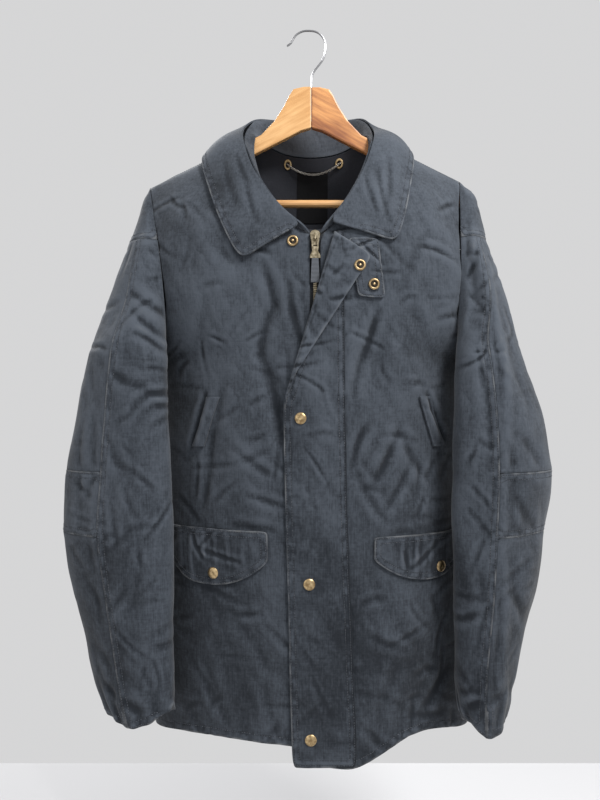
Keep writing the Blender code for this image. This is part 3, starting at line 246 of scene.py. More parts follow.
# ---------------------------------------------------------------- body and sleeves
# Two fronts, a back and ten sleeve pieces, each cut from the shell cotton with a lining inside.
# Every piece starts from its solid and gets the creases that hanging and wear have left in it.
CREASES = [
    # one end x, z, other end x, z, width, depth (a ridge where negative), bow sideways
    (85, -403, 71, -447, 5, 2.2, 0),
    (71, -447, 53, -510, 6, 2.6, 2),
    (70, -549, 52, -600, 5, 2.2, 3),
    (112, -556, 80, -622, 6, 2.6, -3),
    (115, -549, 150, -617, 6, 2.4, 4),
    (128, -600, 96, -655, 5, 1.6, -2),
    (60, -610, 92, -668, 5, 1.4, 3),
    (178, -882, 150, -919, 6, 2.2, 0),
    (88, -760, 140, -836, 9, 1.4, 6),
    (110, -860, 84, -950, 9, 1.6, 4),
    (-62, -340, -49, -394, 6, 2.2, 0),
    (-49, -394, -67, -456, 7, 2.6, 3),
    (-67, -456, -40, -567, 7, 2.6, -5),
    (-29, -366, -15, -438, 5, 2.0, 3),
    (-82, -638, -37, -651, 3.5, 2.0, 0),
    (-101, -677, -50, -682, 4, 1.6, 0),
    (-102, -577, -50, -612, 4, 1.4, 2),
    (-92, -595, -57, -582, 4, 1.2, 0),
    (-123, -535, -136, -613, 6, 2.6, 3),
    (-136, -613, -142, -655, 5, 2.2, 0),
    (-140, -508, -161, -578, 3.5, 3.2, 0),
    (-123, -535, -118, -500, 5, 1.6, 0),
    (153, -508, 178, -566, 3.5, 3.2, 0),
    (-118, -330, -150, -452, 9, 1.4, 6),
    (-140, -300, -92, -342, 7, 1.2, 4),
    (-98, -800, -52, -862, 8, 1.3, -4),
    (-140, -860, -110, -930, 8, 1.4, 3),
    (-60, -880, -42, -955, 7, 1.4, 2),
    (120, -330, 172, -420, 9, 1.4, -6),
    (150, -300, 118, -372, 8, 1.3, 4),
]
SLEEVE_CREASES = [
    # left sleeve: drag lines from the armhole, then soft folds to the cuff
    (-232, -398, -184, -440, 6, 2.6, 3),
    (-224, -430, -182, -462, 5, 2.2, -3),
    (-240, -372, -190, -404, 6, 1.8, 2),
    (-268, -470, -214, -500, 7, 2.0, 4),
    (-284, -540, -282, -640, 7, 2.4, -4),
    (-300, -560, -296, -690, 6, 2.0, 4),
    (-276, -620, -270, -740, 5, -2.0, 4),
    (-262, -560, -230, -620, 7, 1.4, 3),
    (-300, -740, -262, -800, 7, 2.0, -4),
    (-288, -820, -240, -862, 7, 1.8, 4),
    (-262, -880, -214, -905, 6, 1.8, 3),
    (-212, -700, -222, -820, 8, 1.2, 4),
    # right sleeve: a long ridge down from the cap, with folds falling off it
    (236, -338, 238, -420, 5, -2.6, 3),
    (238, -420, 244, -560, 6, -2.4, -5),
    (244, -560, 240, -700, 6, -2.2, 4),
    (240, -700, 236, -880, 7, -2.0, -3),
    (212, -280, 206, -330, 4, 2.4, 2),
    (220, -310, 208, -352, 4, 2.2, -2),
    (252, -440, 280, -520, 7, 2.2, 4),
    (262, -560, 296, -610, 7, 2.0, -4),
    (258, -640, 300, -690, 6, 2.0, 4),
    (252, -760, 282, -810, 7, 1.8, -3),
    (246, -860, 266, -905, 6, 1.6, 3),
    (214, -480, 222, -600, 6, 2.0, -4),
    (212, -680, 220, -800, 7, 1.6, 4),
]
BACK_CREASES = [
    (-120, -260, -60, -420, 10, 1.6, 8),
    (110, -270, 70, -430, 10, 1.6, -8),
    (-170, -400, -110, -520, 9, 1.8, 6),
    (165, -410, 120, -540, 9, 1.8, -6),
    (-40, -500, -70, -640, 10, 1.6, 5),
    (50, -560, 30, -720, 10, 1.6, -5),
    (-150, -640, -90, -700, 8, 1.6, 4),
    (140, -680, 90, -740, 8, 1.6, 4),
    (-30, -780, 10, -900, 10, 1.6, 5),
    (-260, -560, -276, -660, 7, 2.2, 4),
    (262, -570, 274, -650, 7, 2.2, -4),
    (-250, -700, -286, -740, 7, 2.0, 3),
    (244, -720, 280, -760, 7, 2.0, -3),
]
# x, z and reach of the places that creases keep clear of: snaps, zip pull and a flat place on the
# left front; behind, the label and the eyelets
STILL = [
    (-18, -543, 16), (-7, -754, 16), (-5, -952, 16), (-133, -743, 16), (168, -739, 16),
    (-29, -317, 18), (56, -351, 20), (73, -371, 20), (3.5, -335, 26), (-98, -448, 18),
]
BACK_STILL = [(3, -218, 75), (-34, -171, 26), (42, -170, 26)]


def crease_depth(x, z, table):
    """How deep the creases of a table are at points (x, z): a valley beside a softer ridge."""
    total = np.zeros_like(x)
    for x1, z1, x2, z2, width, depth, bow in table:
        dx, dz = x2 - x1, z2 - z1
        length = math.hypot(dx, dz)
        along = ((x - x1) * dx + (z - z1) * dz) / length ** 2
        t = np.clip(along, 0, 1)
        side = ((x - x1) * dz - (z - z1) * dx) / length - bow * 4 * t * (1 - t)
        past = np.maximum(np.abs(along - 0.5) - 0.5, 0) * length
        fade = np.sin(np.clip(0.12 + 0.76 * t, 0, 1) * math.pi) ** 0.7 * np.exp(-(past / width) ** 2)
        valley = np.exp(-(side / width) ** 2)
        ridge = np.exp(-((np.abs(side) - 2.1 * width) / (1.3 * width)) ** 2)
        total += depth * fade * (valley - 0.38 * ridge)
    return total


def still_share(x, z, places):
    """0 in the places that stay smooth, 1 well away from them."""
    share = np.ones_like(x)
    for cx, cz, reach in places:
        gap = np.hypot(x - cx, z - cz)
        share *= np.clip((gap - reach * 0.6) / reach, 0, 1)
    return share


def ripple(points, scale, seed):
    """Soft noise at points in millimetres, with features about `scale` millimetres across."""
    stretched = points / np.array(scale) + seed
    return np.array([noise.noise(Vector(p)) for p in stretched])


def regions(bm, bend, limit):
    """Sets of faces divided by edges that bend more than the limit, the largest in area first."""
    left, found = set(bm.faces), []
    while left:
        stack, region = [left.pop()], set()
        while stack:
            face = stack.pop()
            region.add(face)
            for other in (f for edge in face.edges if bend[edge] <= limit for f in edge.link_faces):
                if other in left:
                    left.remove(other)
                    stack.append(other)
        found.append(region)
    return sorted(found, key=lambda region: -sum(face.calc_area() for face in region)) + [set()]


def scattered(seed, count, x_range, z_range, scale=1.0):
    """Small straight folds of crumpled cotton, as rows for the tables above; the seed is fixed."""
    pick = np.random.default_rng(seed)
    table = []
    for _ in range(count):
        x, z = pick.uniform(*x_range), pick.uniform(*z_range)
        slope, half = pick.normal(0.5, 0.75) * pick.choice((-1, 1)), scale * pick.uniform(9, 30)
        dx, dz = half * math.cos(slope), half * math.sin(slope)
        width, depth = scale * pick.uniform(2.2, 4.0), scale * pick.uniform(0.5, 1.4)
        table.append((x - dx, z - dz, x + dx, z + dz, width, depth, pick.uniform(-4, 4)))
    return table


def finished_mesh(name, bm):
    """The mesh that has been built up, under its name."""
    mesh = bpy.data.meshes.new(name)
    bm.to_mesh(mesh)
    bm.free()
    return mesh


RIM_BENDS = (1.0, 0.9, 0.8, 0.7, 0.6, 1.1, 0.5)   # radians at the rim, tried in this order
RIM_CREASE = 0.93                                 # how sharp the rim stays when made finer


def as_wall(node, soft_corners):
    """A solid's wall as quads: mesh with faces marked 0 outer layer, 1 inner layer, 2 rim."""
    bm = bmesh.new()
    bm.from_mesh(nodes[node].data)
    bmesh.ops.remove_doubles(bm, verts=bm.verts, dist=0.01 * MM)
    bmesh.ops.join_triangles(bm, faces=bm.faces, topology_influence=1.0, cmp_seam=False,
                             cmp_sharp=False, cmp_uvs=False, cmp_vcols=False, cmp_materials=False,
                             angle_face_threshold=math.pi, angle_shape_threshold=math.pi)
    crease = bm.edges.layers.float.new("crease_edge")
    corner = bm.verts.layers.float.new("crease_vert")
    bend = {edge: edge.calc_face_angle(0) for edge in bm.edges}

    def evenness(found):
        sizes = len(found[0][0]), len(found[0][1])
        return min(sizes) / max(sizes)

    layers, limit = max(((regions(bm, bend, limit), limit) for limit in RIM_BENDS), key=evenness)
    sharp = {edge for edge in bm.edges if bend[edge] > limit and len({
        k for k, layer in enumerate(layers) for face in edge.link_faces if face in layer}) > 1}
    for edge in sharp:
        edge[crease] = RIM_CREASE
    for vert in bm.verts:
        ends = [e for e in vert.link_edges if e in sharp]
        if len(ends) >= 3 and soft_corners:
            min(ends, key=lambda e: e.calc_length())[crease] = 0
        elif len(ends) >= 3:
            vert[corner] = 1
    facing = [sum((face.normal * face.calc_area() for face in layer), Vector())
              for layer in layers[:2]]
    if node.startswith(("front", "storm", "pocket", "welt", "throat")):
        outer = 0 if facing[0].y < facing[1].y else 1
    elif node == "back":
        outer = 0 if facing[0].y > facing[1].y else 1
    else:
        outer = 0
    for k, layer in enumerate(layers):
        for face in layer:
            face.material_index = 2 if k > 1 else (0 if k == outer else 1)
            face.smooth = True
    return finished_mesh(node, bm)


def evaluated_mesh(carrier):
    """What an object's modifiers make of it, as a plain mesh."""
    bpy.context.view_layer.update()
    graph = bpy.context.evaluated_depsgraph_get()
    return bpy.data.meshes.new_from_object(carrier.evaluated_get(graph))


def subdivided(mesh, levels):
    """A finer, smoothed mesh in place of the given one."""
    carrier = bpy.data.objects.new("carrier", mesh)
    bpy.context.scene.collection.objects.link(carrier)
    smooth = carrier.modifiers.new("Finer", "SUBSURF")
    smooth.levels = smooth.render_levels = levels
    made = evaluated_mesh(carrier)
    bpy.data.objects.remove(carrier)
    bpy.data.meshes.remove(mesh)
    return made


def positions(mesh):
    """A mesh's points in millimetres."""
    flat = np.zeros(len(mesh.vertices) * 3, np.float32)
    mesh.vertices.foreach_get("co", flat)
    return flat.reshape(-1, 3).astype(float) / MM


def edge_pairs(mesh):
    """The two points of every edge."""
    pairs = np.zeros(len(mesh.edges) * 2, np.int32)
    mesh.edges.foreach_get("vertices", pairs)
    return pairs.reshape(-1, 2)


def rim_segments(mesh, both_faces):
    """Edges between the outer layer, or either layer, and the rim, as pairs of vertices."""
    seen = {}
    for face in mesh.polygons:
        for key in face.edge_keys:
            seen.setdefault(key, set()).add(face.material_index)
    wanted = ({0, 2}, {1, 2}) if both_faces else ({0, 2},)
    return np.array([key for key, kinds in seen.items() if kinds in wanted], int)


def distance_to(points, ends_a, ends_b):
    """Distance from each point to the nearest segment, among the three whose middles are nearest."""
    tree = KDTree(len(ends_a))
    for k, middle in enumerate((ends_a + ends_b) / 2):
        tree.insert(middle, k)
    tree.balance()
    nearest = np.array([[hit[1] for hit in tree.find_n(p, 3)] for p in points])
    best = np.full(len(points), 1e9)
    for k in range(nearest.shape[1]):
        a, b = ends_a[nearest[:, k]], ends_b[nearest[:, k]]
        run = b - a
        t = np.sum((points - a) * run, axis=1) / np.maximum(np.sum(run * run, axis=1), 1e-9)
        t = np.clip(t, 0, 1)
        best = np.minimum(best, np.linalg.norm(points - a - run * t[:, None], axis=1))
    return best


def spread(values, pairs, count, rounds):
    """Values evened out between neighbouring points."""
    for _ in range(rounds):
        total = np.bincount(pairs[:, 0], values[pairs[:, 1]], count)
        total += np.bincount(pairs[:, 1], values[pairs[:, 0]], count)
        many = np.bincount(pairs.ravel(), minlength=count)
        values = 0.5 * values + 0.5 * total / np.maximum(many, 1)
    return values


RELIEF_GAIN = 26    # brings the usual creases near 1


def relief_of(points, normals, pairs):
    """-1 in valleys to 1 on ridges, from how far each point stands out of its neighbours."""
    count = len(points)
    many = np.maximum(np.bincount(pairs.ravel(), minlength=count), 1)
    one, other = pairs.T
    around = np.stack([np.bincount(one, points[other, k], count)
                       + np.bincount(other, points[one, k], count) for k in range(3)], axis=1)
    reach = np.linalg.norm(points[one] - points[other], axis=1)
    size = (np.bincount(one, reach, count) + np.bincount(other, reach, count)) / many
    stands = np.sum((points - around / many[:, None]) * normals, axis=1)
    stands /= np.maximum(size, 0.1) ** 2
    return np.clip(spread(stands, pairs, count, 4) * RELIEF_GAIN, -1, 1)


def sleeve_axis(side):
    """x and y of a sleeve's middle line as polynomials of height."""
    points = np.concatenate([positions(nodes[n].data) for n in nodes
                             if n.startswith("sleeve") and n.endswith(side)])
    rows = []
    for z in np.arange(points[:, 2].min() + 20, points[:, 2].max() - 15, 18.0):
        near = points[np.abs(points[:, 2] - z) < 30]
        if len(near) > 8:
            rows.append((z, *(near[:, :2].min(axis=0) + near[:, :2].max(axis=0)) / 2))
    z, x, y = np.array(rows).T
    return np.polyfit(z, x, 5), np.polyfit(z, y, 5)


AXES = {side: sleeve_axis(side) for side in SIDES}
CREASES += scattered(5, 150, (-200, 205), (-960, -250))
SLEEVE_CREASES += scattered(6, 70, (-330, -180), (-900, -260))
SLEEVE_CREASES += scattered(8, 80, (185, 330), (-900, -240))
BACK_CREASES += scattered(9, 120, (-300, 300), (-930, -180), 1.9)
BACK_SOFTER = 0.85    # the back panel's creases, beside those of the sleeves behind


def push_body(points, node):
    """Displacement of the body's panels and of what lies on their fronts; one field for all."""
    x, z = points[:, 0], points[:, 2]
    back = node == "back"
    depth = crease_depth(x, z, BACK_CREASES) * BACK_SOFTER if back else crease_depth(x, z, CREASES)
    slanted = np.stack([x + 0.5 * z, 0 * x, z - 0.5 * x], axis=1)
    depth += 2.9 * ripple(slanted, (46, 1, 90), 3 if back else 7)
    depth += 0.7 * ripple(slanted, (15, 1, 34), 11)
    depth *= still_share(x, z, BACK_STILL if back else STILL)
    lean = np.clip(x / 235, -0.85, 0.85)     # the panels turn outwards towards the side seams
    out = np.stack([lean, (1 if back else -1) * np.sqrt(1 - lean ** 2), 0 * x], axis=1)
    return -out * depth[:, None]


def push_sleeve(points, node):
    """Displacement of a sleeve's pieces towards or away from its middle line."""
    middle_x, middle_y = AXES["left" if node.endswith("left") else "right"]
    x, y, z = points.T
    out = np.stack([x - np.polyval(middle_x, z), y - np.polyval(middle_y, z), 0 * z], axis=1)
    out /= np.maximum(np.linalg.norm(out, axis=1, keepdims=True), 1e-6)
    depth = crease_depth(x, z, SLEEVE_CREASES) * np.clip(-out[:, 1] * 1.6 + 0.3, 0, 1)
    depth += crease_depth(x, z, BACK_CREASES) * np.clip(out[:, 1] * 1.6, 0, 1)
    depth += 2.2 * ripple(points, (34, 34, 70), 5) + 0.7 * ripple(points, (14, 14, 30), 9)
    around = np.arctan2(out[:, 0], out[:, 1])
    gather = np.sin(9 * around + 4 * ripple(points, (40, 40, 40), 15))
    depth += 1.6 * gather * np.clip((-850 - z) / 60, 0, 1)
    return -out * depth[:, None]


PIECES = {}                       # by node, what its stitch rows need
SEAM_STIFF, SEAM_REACH = 1.5, 9   # a seam holds the cloth still so far, then less over this width
FAR = 60                          # distances from a stitched edge are told apart up to here


def cloth(node, push, levels, flat, area, rests_on, stitched=None, lines=(1.8, 8.0), inside=None,
          free_below=-9999, soft_corners=False, both_faces=False, rubbed=None):
    """Make one cut piece from its solid: finer, creased and marked with its seams.

    stitched and rubbed choose edges and points by x, y and z; lines are the stitch rows' distances
    from the edge; edges below free_below hang loose; flat and area are not used.
    """
    mesh = subdivided(as_wall(node, soft_corners), levels)
    points = positions(mesh)
    segments = rim_segments(mesh, both_faces)
    ends = points[segments[:, 0]], points[segments[:, 1]]
    to_rim = distance_to(points, *ends)
    if stitched is None:
        to_stitched = to_rim
    else:
        middle = (ends[0] + ends[1]) / 2
        keep = stitched(*middle.T)
        to_stitched = distance_to(points, ends[0][keep], ends[1][keep]) if keep.any() else to_rim + 99
    run = np.abs(ends[0] - ends[1])
    sewn = np.maximum(ends[0][:, 2], ends[1][:, 2]) > free_below
    sewn |= (free_below < 0) & (run[:, 2] > run[:, 0])
    to_sewn = distance_to(points, ends[0][sewn], ends[1][sewn]) if sewn.any() else to_rim + 99
    free = np.clip((to_sewn - SEAM_STIFF) / SEAM_REACH, 0, 1)
    free = free * free * (3 - 2 * free)
    points = points + push(points, node) * free[:, None]
    mesh.vertices.foreach_set("co", (points * MM).astype(np.float32).ravel())
    mesh.update()
    normals = np.zeros(len(points) * 3, np.float32)
    mesh.vertex_normals.foreach_get("vector", normals)
    relief = relief_of(points, normals.reshape(-1, 3), edge_pairs(mesh))
    relief *= np.clip(to_rim / 6, 0, 1)
    first, second = lines
    seam = np.stack([np.minimum(to_stitched, FAR), 0 * relief + first, 0 * relief + second], axis=1)
    rub = np.ones(len(points)) if rubbed is None else rubbed(*points.T)
    for name, kind, field, values in (("relief", "FLOAT", "value", relief),
                                      ("seam", "FLOAT_VECTOR", "vector", seam),
                                      ("rub", "FLOAT", "value", rub)):
        attribute = mesh.attributes.new(name, kind, "POINT")
        attribute.data.foreach_set(field, values.astype(np.float32).ravel())
    kinds = np.zeros(len(mesh.polygons), np.int32)
    mesh.polygons.foreach_get("material_index", kinds)
    for finish in (SHELL, inside or LINING, SHELL):
        mesh.materials.append(finish)
    mesh.polygons.foreach_set("material_index", kinds)
    mesh.set_sharp_from_angle(angle=math.radians(55))
    piece = bpy.data.objects.new("cloth_" + node, mesh)
    bpy.context.scene.collection.objects.link(piece)
    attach(piece, JACKET)
    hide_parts(node)
    PIECES[node] = (piece, to_stitched, lines, (0, 1) if both_faces else (0,))


def nowhere(x, y, z):
    """No edge is stitched."""
    return np.zeros(len(x), bool)


ARMS = ["hanger_arm_left", "hanger_arm_right"]
SLEEVE_CUTS = {  # flat width and length in metres, area in square metres
    "cap": {"left": (0.16, 0.09, 0.0065), "right": (0.16, 0.09, 0.0078)},
    "top": {"left": (0.22, 0.64, 0.0773), "right": (0.18, 0.64, 0.0594)},
    "under": {"left": (0.22, 0.31, 0.0568), "right": (0.23, 0.31, 0.0602)},
    "elbow": {"left": (0.22, 0.085, 0.018), "right": (0.24, 0.085, 0.0195)},
    "lower": {"left": (0.22, 0.25, 0.0453), "right": (0.23, 0.25, 0.0468)},
}


def sleeve_piece(part, side, **how):
    width, length, area = SLEEVE_CUTS[part][side]
    carrier = "sleeve_top" if part in ("elbow", "lower") else "front"
    cloth(f"sleeve_{part}_{side}", push_sleeve, 2 if part == "cap" else 3, (width, length), area,
          [f"cloth_{carrier}_{side}"], **how)


def sleeve_seams(x, y, z):
    """The long seam on the sleeve's outer side, from the cap down, and the cuff."""
    outer = (np.abs(x) > 214) & (y < np.where(z > -420, -8, -45)) & (z < -304)
    return outer | (z < -915)


FRONT_AREA = {"left": 0.188, "right": 0.1841}
HEM_LOOSE, CUFF_LOOSE = -925, -905    # hem and cuffs hang free below these heights
cloth("back", push_body, 3, (0.56, 0.84), 0.3706, ARMS, stitched=lambda x, y, z: z < -940,
      free_below=HEM_LOOSE)
for side in SIDES:
    cloth(f"front_{side}", push_body, 3, (0.3, 0.84), FRONT_AREA[side], [f"hanger_arm_{side}"],
          stitched=lambda x, y, z: (z < -925) | (z > -235) & (np.abs(x) > 90),
          lines=(9.0, 99.0), free_below=HEM_LOOSE)
    sleeve_piece("cap", side, stitched=lambda x, y, z: z < -292)
    sleeve_piece("top", side, stitched=sleeve_seams, free_below=CUFF_LOOSE)
    sleeve_piece("under", side, stitched=nowhere, free_below=CUFF_LOOSE)
    sleeve_piece("elbow", side, stitched=lambda x, y, z: (z > -612) | (z < -685))
    sleeve_piece("lower", side, stitched=lambda x, y, z: z < -905, free_below=CUFF_LOOSE)


# ---------------------------------------------------------------- collar
# A stand sewn into the neckline and a fall that turns over it, both of shell cotton on both faces,
# edge-stitched with two rows.
COLLAR_CREASES = [
    # one end x, z, other end x, z, width, depth, bow
    (-116, -201, -97, -262, 5, 1.3, 2),
    (-100, -190, -84, -235, 4, 1.0, 0),
    (-84, -240, -70, -286, 4, 1.0, 2),
    (104, -196, 98, -262, 5, 1.3, -2),
    (88, -215, 100, -285, 4, 1.0, 2),
    (70, -225, 84, -272, 4, 0.8, 0),
]


def push_little(points, node):
    """Creases of the collar's wings, which face forward, and small unevenness all round."""
    x, y, z = points.T
    wings = crease_depth(x, z, COLLAR_CREASES) * (y < -20) * (node == "collar_fall")
    return np.stack([0 * x, 0.8 * ripple(points, (30, 30, 30), 2) + wings, 0 * x], axis=1)


cloth("collar_stand", push_little, 3, (0.6, 0.04), 0.0155, ARMS, stitched=nowhere, inside=SHELL)
cloth("collar_fall", push_little, 3, (0.72, 0.1), 0.0555, ["cloth_collar_stand"], inside=SHELL,
      stitched=lambda x, y, z: (np.abs(x) >= 99) | (z <= -300) | (y <= -90), lines=(2.2, 8.5),
      soft_corners=True)


# ---------------------------------------------------------------- pockets
# Each front has a slanted welt for a hand-warmer pocket and, below it, a flap with a shaped lower
# edge that snaps down. The flaps are edge-stitched and gathered a little under their top seam.
FLAP_FOLDS = [
    # top x, z, foot x, z, width, depth (ridges), bow
    (-176, -690, -170, -748, 5, -0.88, 0),
    (-160, -690, -156, -745, 4.5, -1.1, 2),
    (-145, -690, -140, -735, 4.5, -0.99, 0),
    (-128, -690, -122, -748, 5, -0.99, 2),
    (-112, -690, -108, -740, 5, -0.77, 0),
    (-88, -690, -90, -730, 6, -0.66, 0),
    (186, -698, 180, -745, 5, -0.88, 0),
    (160, -698, 158, -745, 5, -0.88, 2),
    (138, -698, 136, -742, 5, -0.99, 0),
    (118, -698, 120, -735, 5, -0.66, 0),
]
FLAP_AREA = {"left": 0.0099, "right": 0.008}


def push_flap(points, node):
    """The body's creases, and the gathers under the flap's top seam."""
    x, _, z = points.T
    gathers = np.minimum(crease_depth(x, z, FLAP_FOLDS), 0) * still_share(x, z, STILL)
    return push_body(points, node) + np.stack([0 * x, gathers, 0 * x], axis=1)


for side in SIDES:
    cloth(f"welt_{side}", push_body, 3, (0.022, 0.078), 0.0016, [f"cloth_front_{side}"],
          stitched=nowhere, free_below=0)
    cloth(f"pocket_flap_{side}", push_flap, 3, (0.15, 0.07), FLAP_AREA[side],
          [f"cloth_front_{side}"], lines=(2.0, 8.0), free_below=0, soft_corners=True)


# ---------------------------------------------------------------- storm flap and throat tab
# The storm flap is sewn down the viewer's right of the zip and snaps over it; its top is folded
# back open, so its facing shows. The throat tab under it is turned back too.
# rubbed is 0 along the flap's sewn side, which gets no worn edge and is given painted shade
cloth("storm_flap", push_body, 3, (0.085, 0.69), 0.055, ["cloth_front_left", "cloth_front_right"],
      lines=(2.0, 8.2), inside=FACING, free_below=0, soft_corners=True, both_faces=True,
      rubbed=lambda x, y, z: (x < 30) | (z > -400) & (y < -94))
cloth("throat_tab", push_body, 3, (0.042, 0.078), 0.003, ["cloth_front_right"], lines=(2.0, 8.0),
      free_below=0, soft_corners=True)


# ---------------------------------------------------------------- sewing
# Topstitching in a thread close to the cloth's colour, about three stitches to the centimetre, in
# rows that follow the folded edges and seams.
STITCH_LENGTH, STITCH_RADIUS, STITCH_EVERY = 2.5, 0.32, 3.3
THREAD_LIFT = 0.12    # how far the thread's middle lies above the cloth


def level_lines(piece, values, level, layers):
    """Chains of points on the given layers where `values` (one for each vertex) equals level."""
    mesh = piece.data
    co = positions(mesh)
    touching, places = {}, {}
    mesh.calc_loop_triangles()
    kinds = [p.material_index for p in mesh.polygons]
    for tri in mesh.loop_triangles:
        if kinds[tri.polygon_index] not in layers:
            continue
        at = [values[v] - level for v in tri.vertices]
        if min(at) >= 0 or max(at) < 0:
            continue
        keys = []
        for i, j in ((0, 1), (1, 2), (2, 0)):
            if (at[i] < 0) != (at[j] < 0):
                a, b = sorted((tri.vertices[i], tri.vertices[j]))
                share = (level - values[a]) / (values[b] - values[a])
                places[a, b] = (co[a] + (co[b] - co[a]) * share
                                + np.array(tri.normal) * THREAD_LIFT)
                keys.append((a, b))
        for k, m in (keys, keys[::-1]):
            touching.setdefault(k, []).append(m)
    chains, used = [], set()
    starts = [k for k in touching if len(touching[k]) == 1] + list(touching)
    for start in starts:
        if start in used:
            continue
        chain, here = [], start
        while here is not None:
            used.add(here)
            chain.append(places[here])
            here = next((k for k in touching[here] if k not in used), None)
        if len(chain) > 6:
            chains.append(chain)
    return chains


def circle(radius, sides):
    return [(radius * math.cos(k * math.tau / sides), radius * math.sin(k * math.tau / sides))
            for k in range(sides)]


def stitch_mesh(length, radius, sides=4):
    """One stitch, a small spindle along X."""
    bm = bmesh.new()
    rings = []
    for x, r in ((-0.5, 0.25), (-0.25, 1.0), (0.25, 1.0), (0.5, 0.25)):
        rings.append([bm.verts.new((x * length, *yz)) for yz in circle(r * radius, sides)])
    for a, b in zip(rings, rings[1:]):
        for k in range(sides):
            bm.faces.new((a[k], b[k], b[(k + 1) % sides], a[(k + 1) % sides]))
    bm.faces.new(rings[0])
    bm.faces.new(rings[-1][::-1])
    bmesh.ops.recalc_face_normals(bm, faces=bm.faces)
    return finished_mesh("stitch", bm)


def along_curve(name, unit_mesh, finish, chains, spacing, roll_each=0.0):
    """Copies of a small mesh every `spacing` along chains of points, as one plain mesh object."""
    data = bpy.data.curves.new(name + "_path", "CURVE")
    data.dimensions = "3D"
    for chain in chains:
        spline = data.splines.new("POLY")
        spline.points.add(len(chain) - 1)
        for point, place in zip(spline.points, chain):
            point.co = (*(Vector(place) * MM), 1)
    path = bpy.data.objects.new(name + "_path", data)
    single = bpy.data.objects.new(name + "_single", unit_mesh)
    for helper in (path, single):
        bpy.context.scene.collection.objects.link(helper)
    tree = bpy.data.node_groups.new(name, "GeometryNodeTree")
    add = tree.interface.new_socket
    add("Geometry", in_out="INPUT", socket_type="NodeSocketGeometry")
    values = {"Unit": ("Object", single), "Spacing": ("Float", spacing * MM),
              "Roll each": ("Float", roll_each), "Finish": ("Material", finish)}
    sockets = {title: add(title, in_out="INPUT", socket_type="NodeSocket" + kind).identifier
               for title, (kind, _) in values.items()}
    add("Geometry", in_out="OUTPUT", socket_type="NodeSocketGeometry")
    enter, leave = tree.nodes.new("NodeGroupInput"), tree.nodes.new("NodeGroupOutput")

    def node(kind, settings=None, inputs=None):
        made = tree.nodes.new(kind)
        for key, value in (settings or {}).items():
            setattr(made, key, value)
        for key, value in (inputs or {}).items():
            if isinstance(value, bpy.types.NodeSocket):
                tree.links.new(value, made.inputs[key])
            else:
                made.inputs[key].default_value = value
        return made

    rows = node("GeometryNodeResampleCurve", {"mode": "LENGTH"},
                {"Curve": enter.outputs["Geometry"], "Length": enter.outputs["Spacing"]})
    tangent = node("GeometryNodeInputTangent")
    turn = node("FunctionNodeAlignRotationToVector", {"axis": "X"}, {"Vector": tangent.outputs[0]})
    index = node("GeometryNodeInputIndex")
    roll = node("ShaderNodeMath", {"operation": "MULTIPLY"},
                {0: index.outputs[0], 1: enter.outputs["Roll each"]})
    spin = node("ShaderNodeCombineXYZ", None, {"X": roll.outputs[0]})
    spin = node("FunctionNodeEulerToRotation", None, {0: spin.outputs[0]})
    both = node("FunctionNodeRotateRotation", {"rotation_space": "LOCAL"},
                {0: turn.outputs[0], 1: spin.outputs[0]})
    source = node("GeometryNodeObjectInfo", None, {"Object": enter.outputs["Unit"]})
    copies = node("GeometryNodeInstanceOnPoints", None,
                  {"Points": rows.outputs[0], "Instance": source.outputs["Geometry"],
                   "Rotation": both.outputs[0]})
    solid = node("GeometryNodeRealizeInstances", None, {0: copies.outputs[0]})
    finished = node("GeometryNodeSetMaterial", None,
                    {"Geometry": solid.outputs[0], "Material": enter.outputs["Finish"]})
    tree.links.new(finished.outputs[0], leave.inputs[0])
    modifier = path.modifiers.new("Copies", "NODES")
    modifier.node_group = tree
    for title, (_, value) in values.items():
        modifier[sockets[title]] = value
    mesh = evaluated_mesh(path)
    for helper in (path, single):
        bpy.data.objects.remove(helper)
    if not mesh.materials:
        mesh.materials.append(finish)
    mesh.shade_smooth()
    made = bpy.data.objects.new(name, mesh)
    bpy.context.scene.collection.objects.link(made)
    return made


f = Finish("sewing_thread", Roughness=0.8)
THREAD = f.finish(f.mix(f.grain((300, 300, 300)).ramp(0.3, 0.7), (0.035, 0.042, 0.055),
                        (0.12, 0.13, 0.15)))

for node, (piece, to_stitched, lines, layers) in PIECES.items():
    chains = [chain for line in lines if line < FAR
              for chain in level_lines(piece, to_stitched, line, layers)]
    if chains:
        rows = along_curve("stitches_" + node, stitch_mesh(STITCH_LENGTH * MM, STITCH_RADIUS * MM),
                           THREAD, chains, STITCH_EVERY)
        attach(rows, JACKET)


# ---------------------------------------------------------------- zip
# A heavy brass zip on dark tape: separate teeth, a cast slider, and a pull tab with a ribbed grip
# that hangs from the slider's bridge.
TOOTH_ROOT, TOOTH_TIP = 1.5, 0.95         # width along the zip, at the tape and at the tip
TOOTH_DEPTH, TOOTH_REACH = 2.1, 3.1       # front to back, and across the zip
TOOTH_ASIDE, TOOTH_PITCH = 0.75, 2.6      # its middle from the zip's, and tooth to tooth
RIGHT_HIGHER = 0.9                        # the right side's teeth lie between the left's

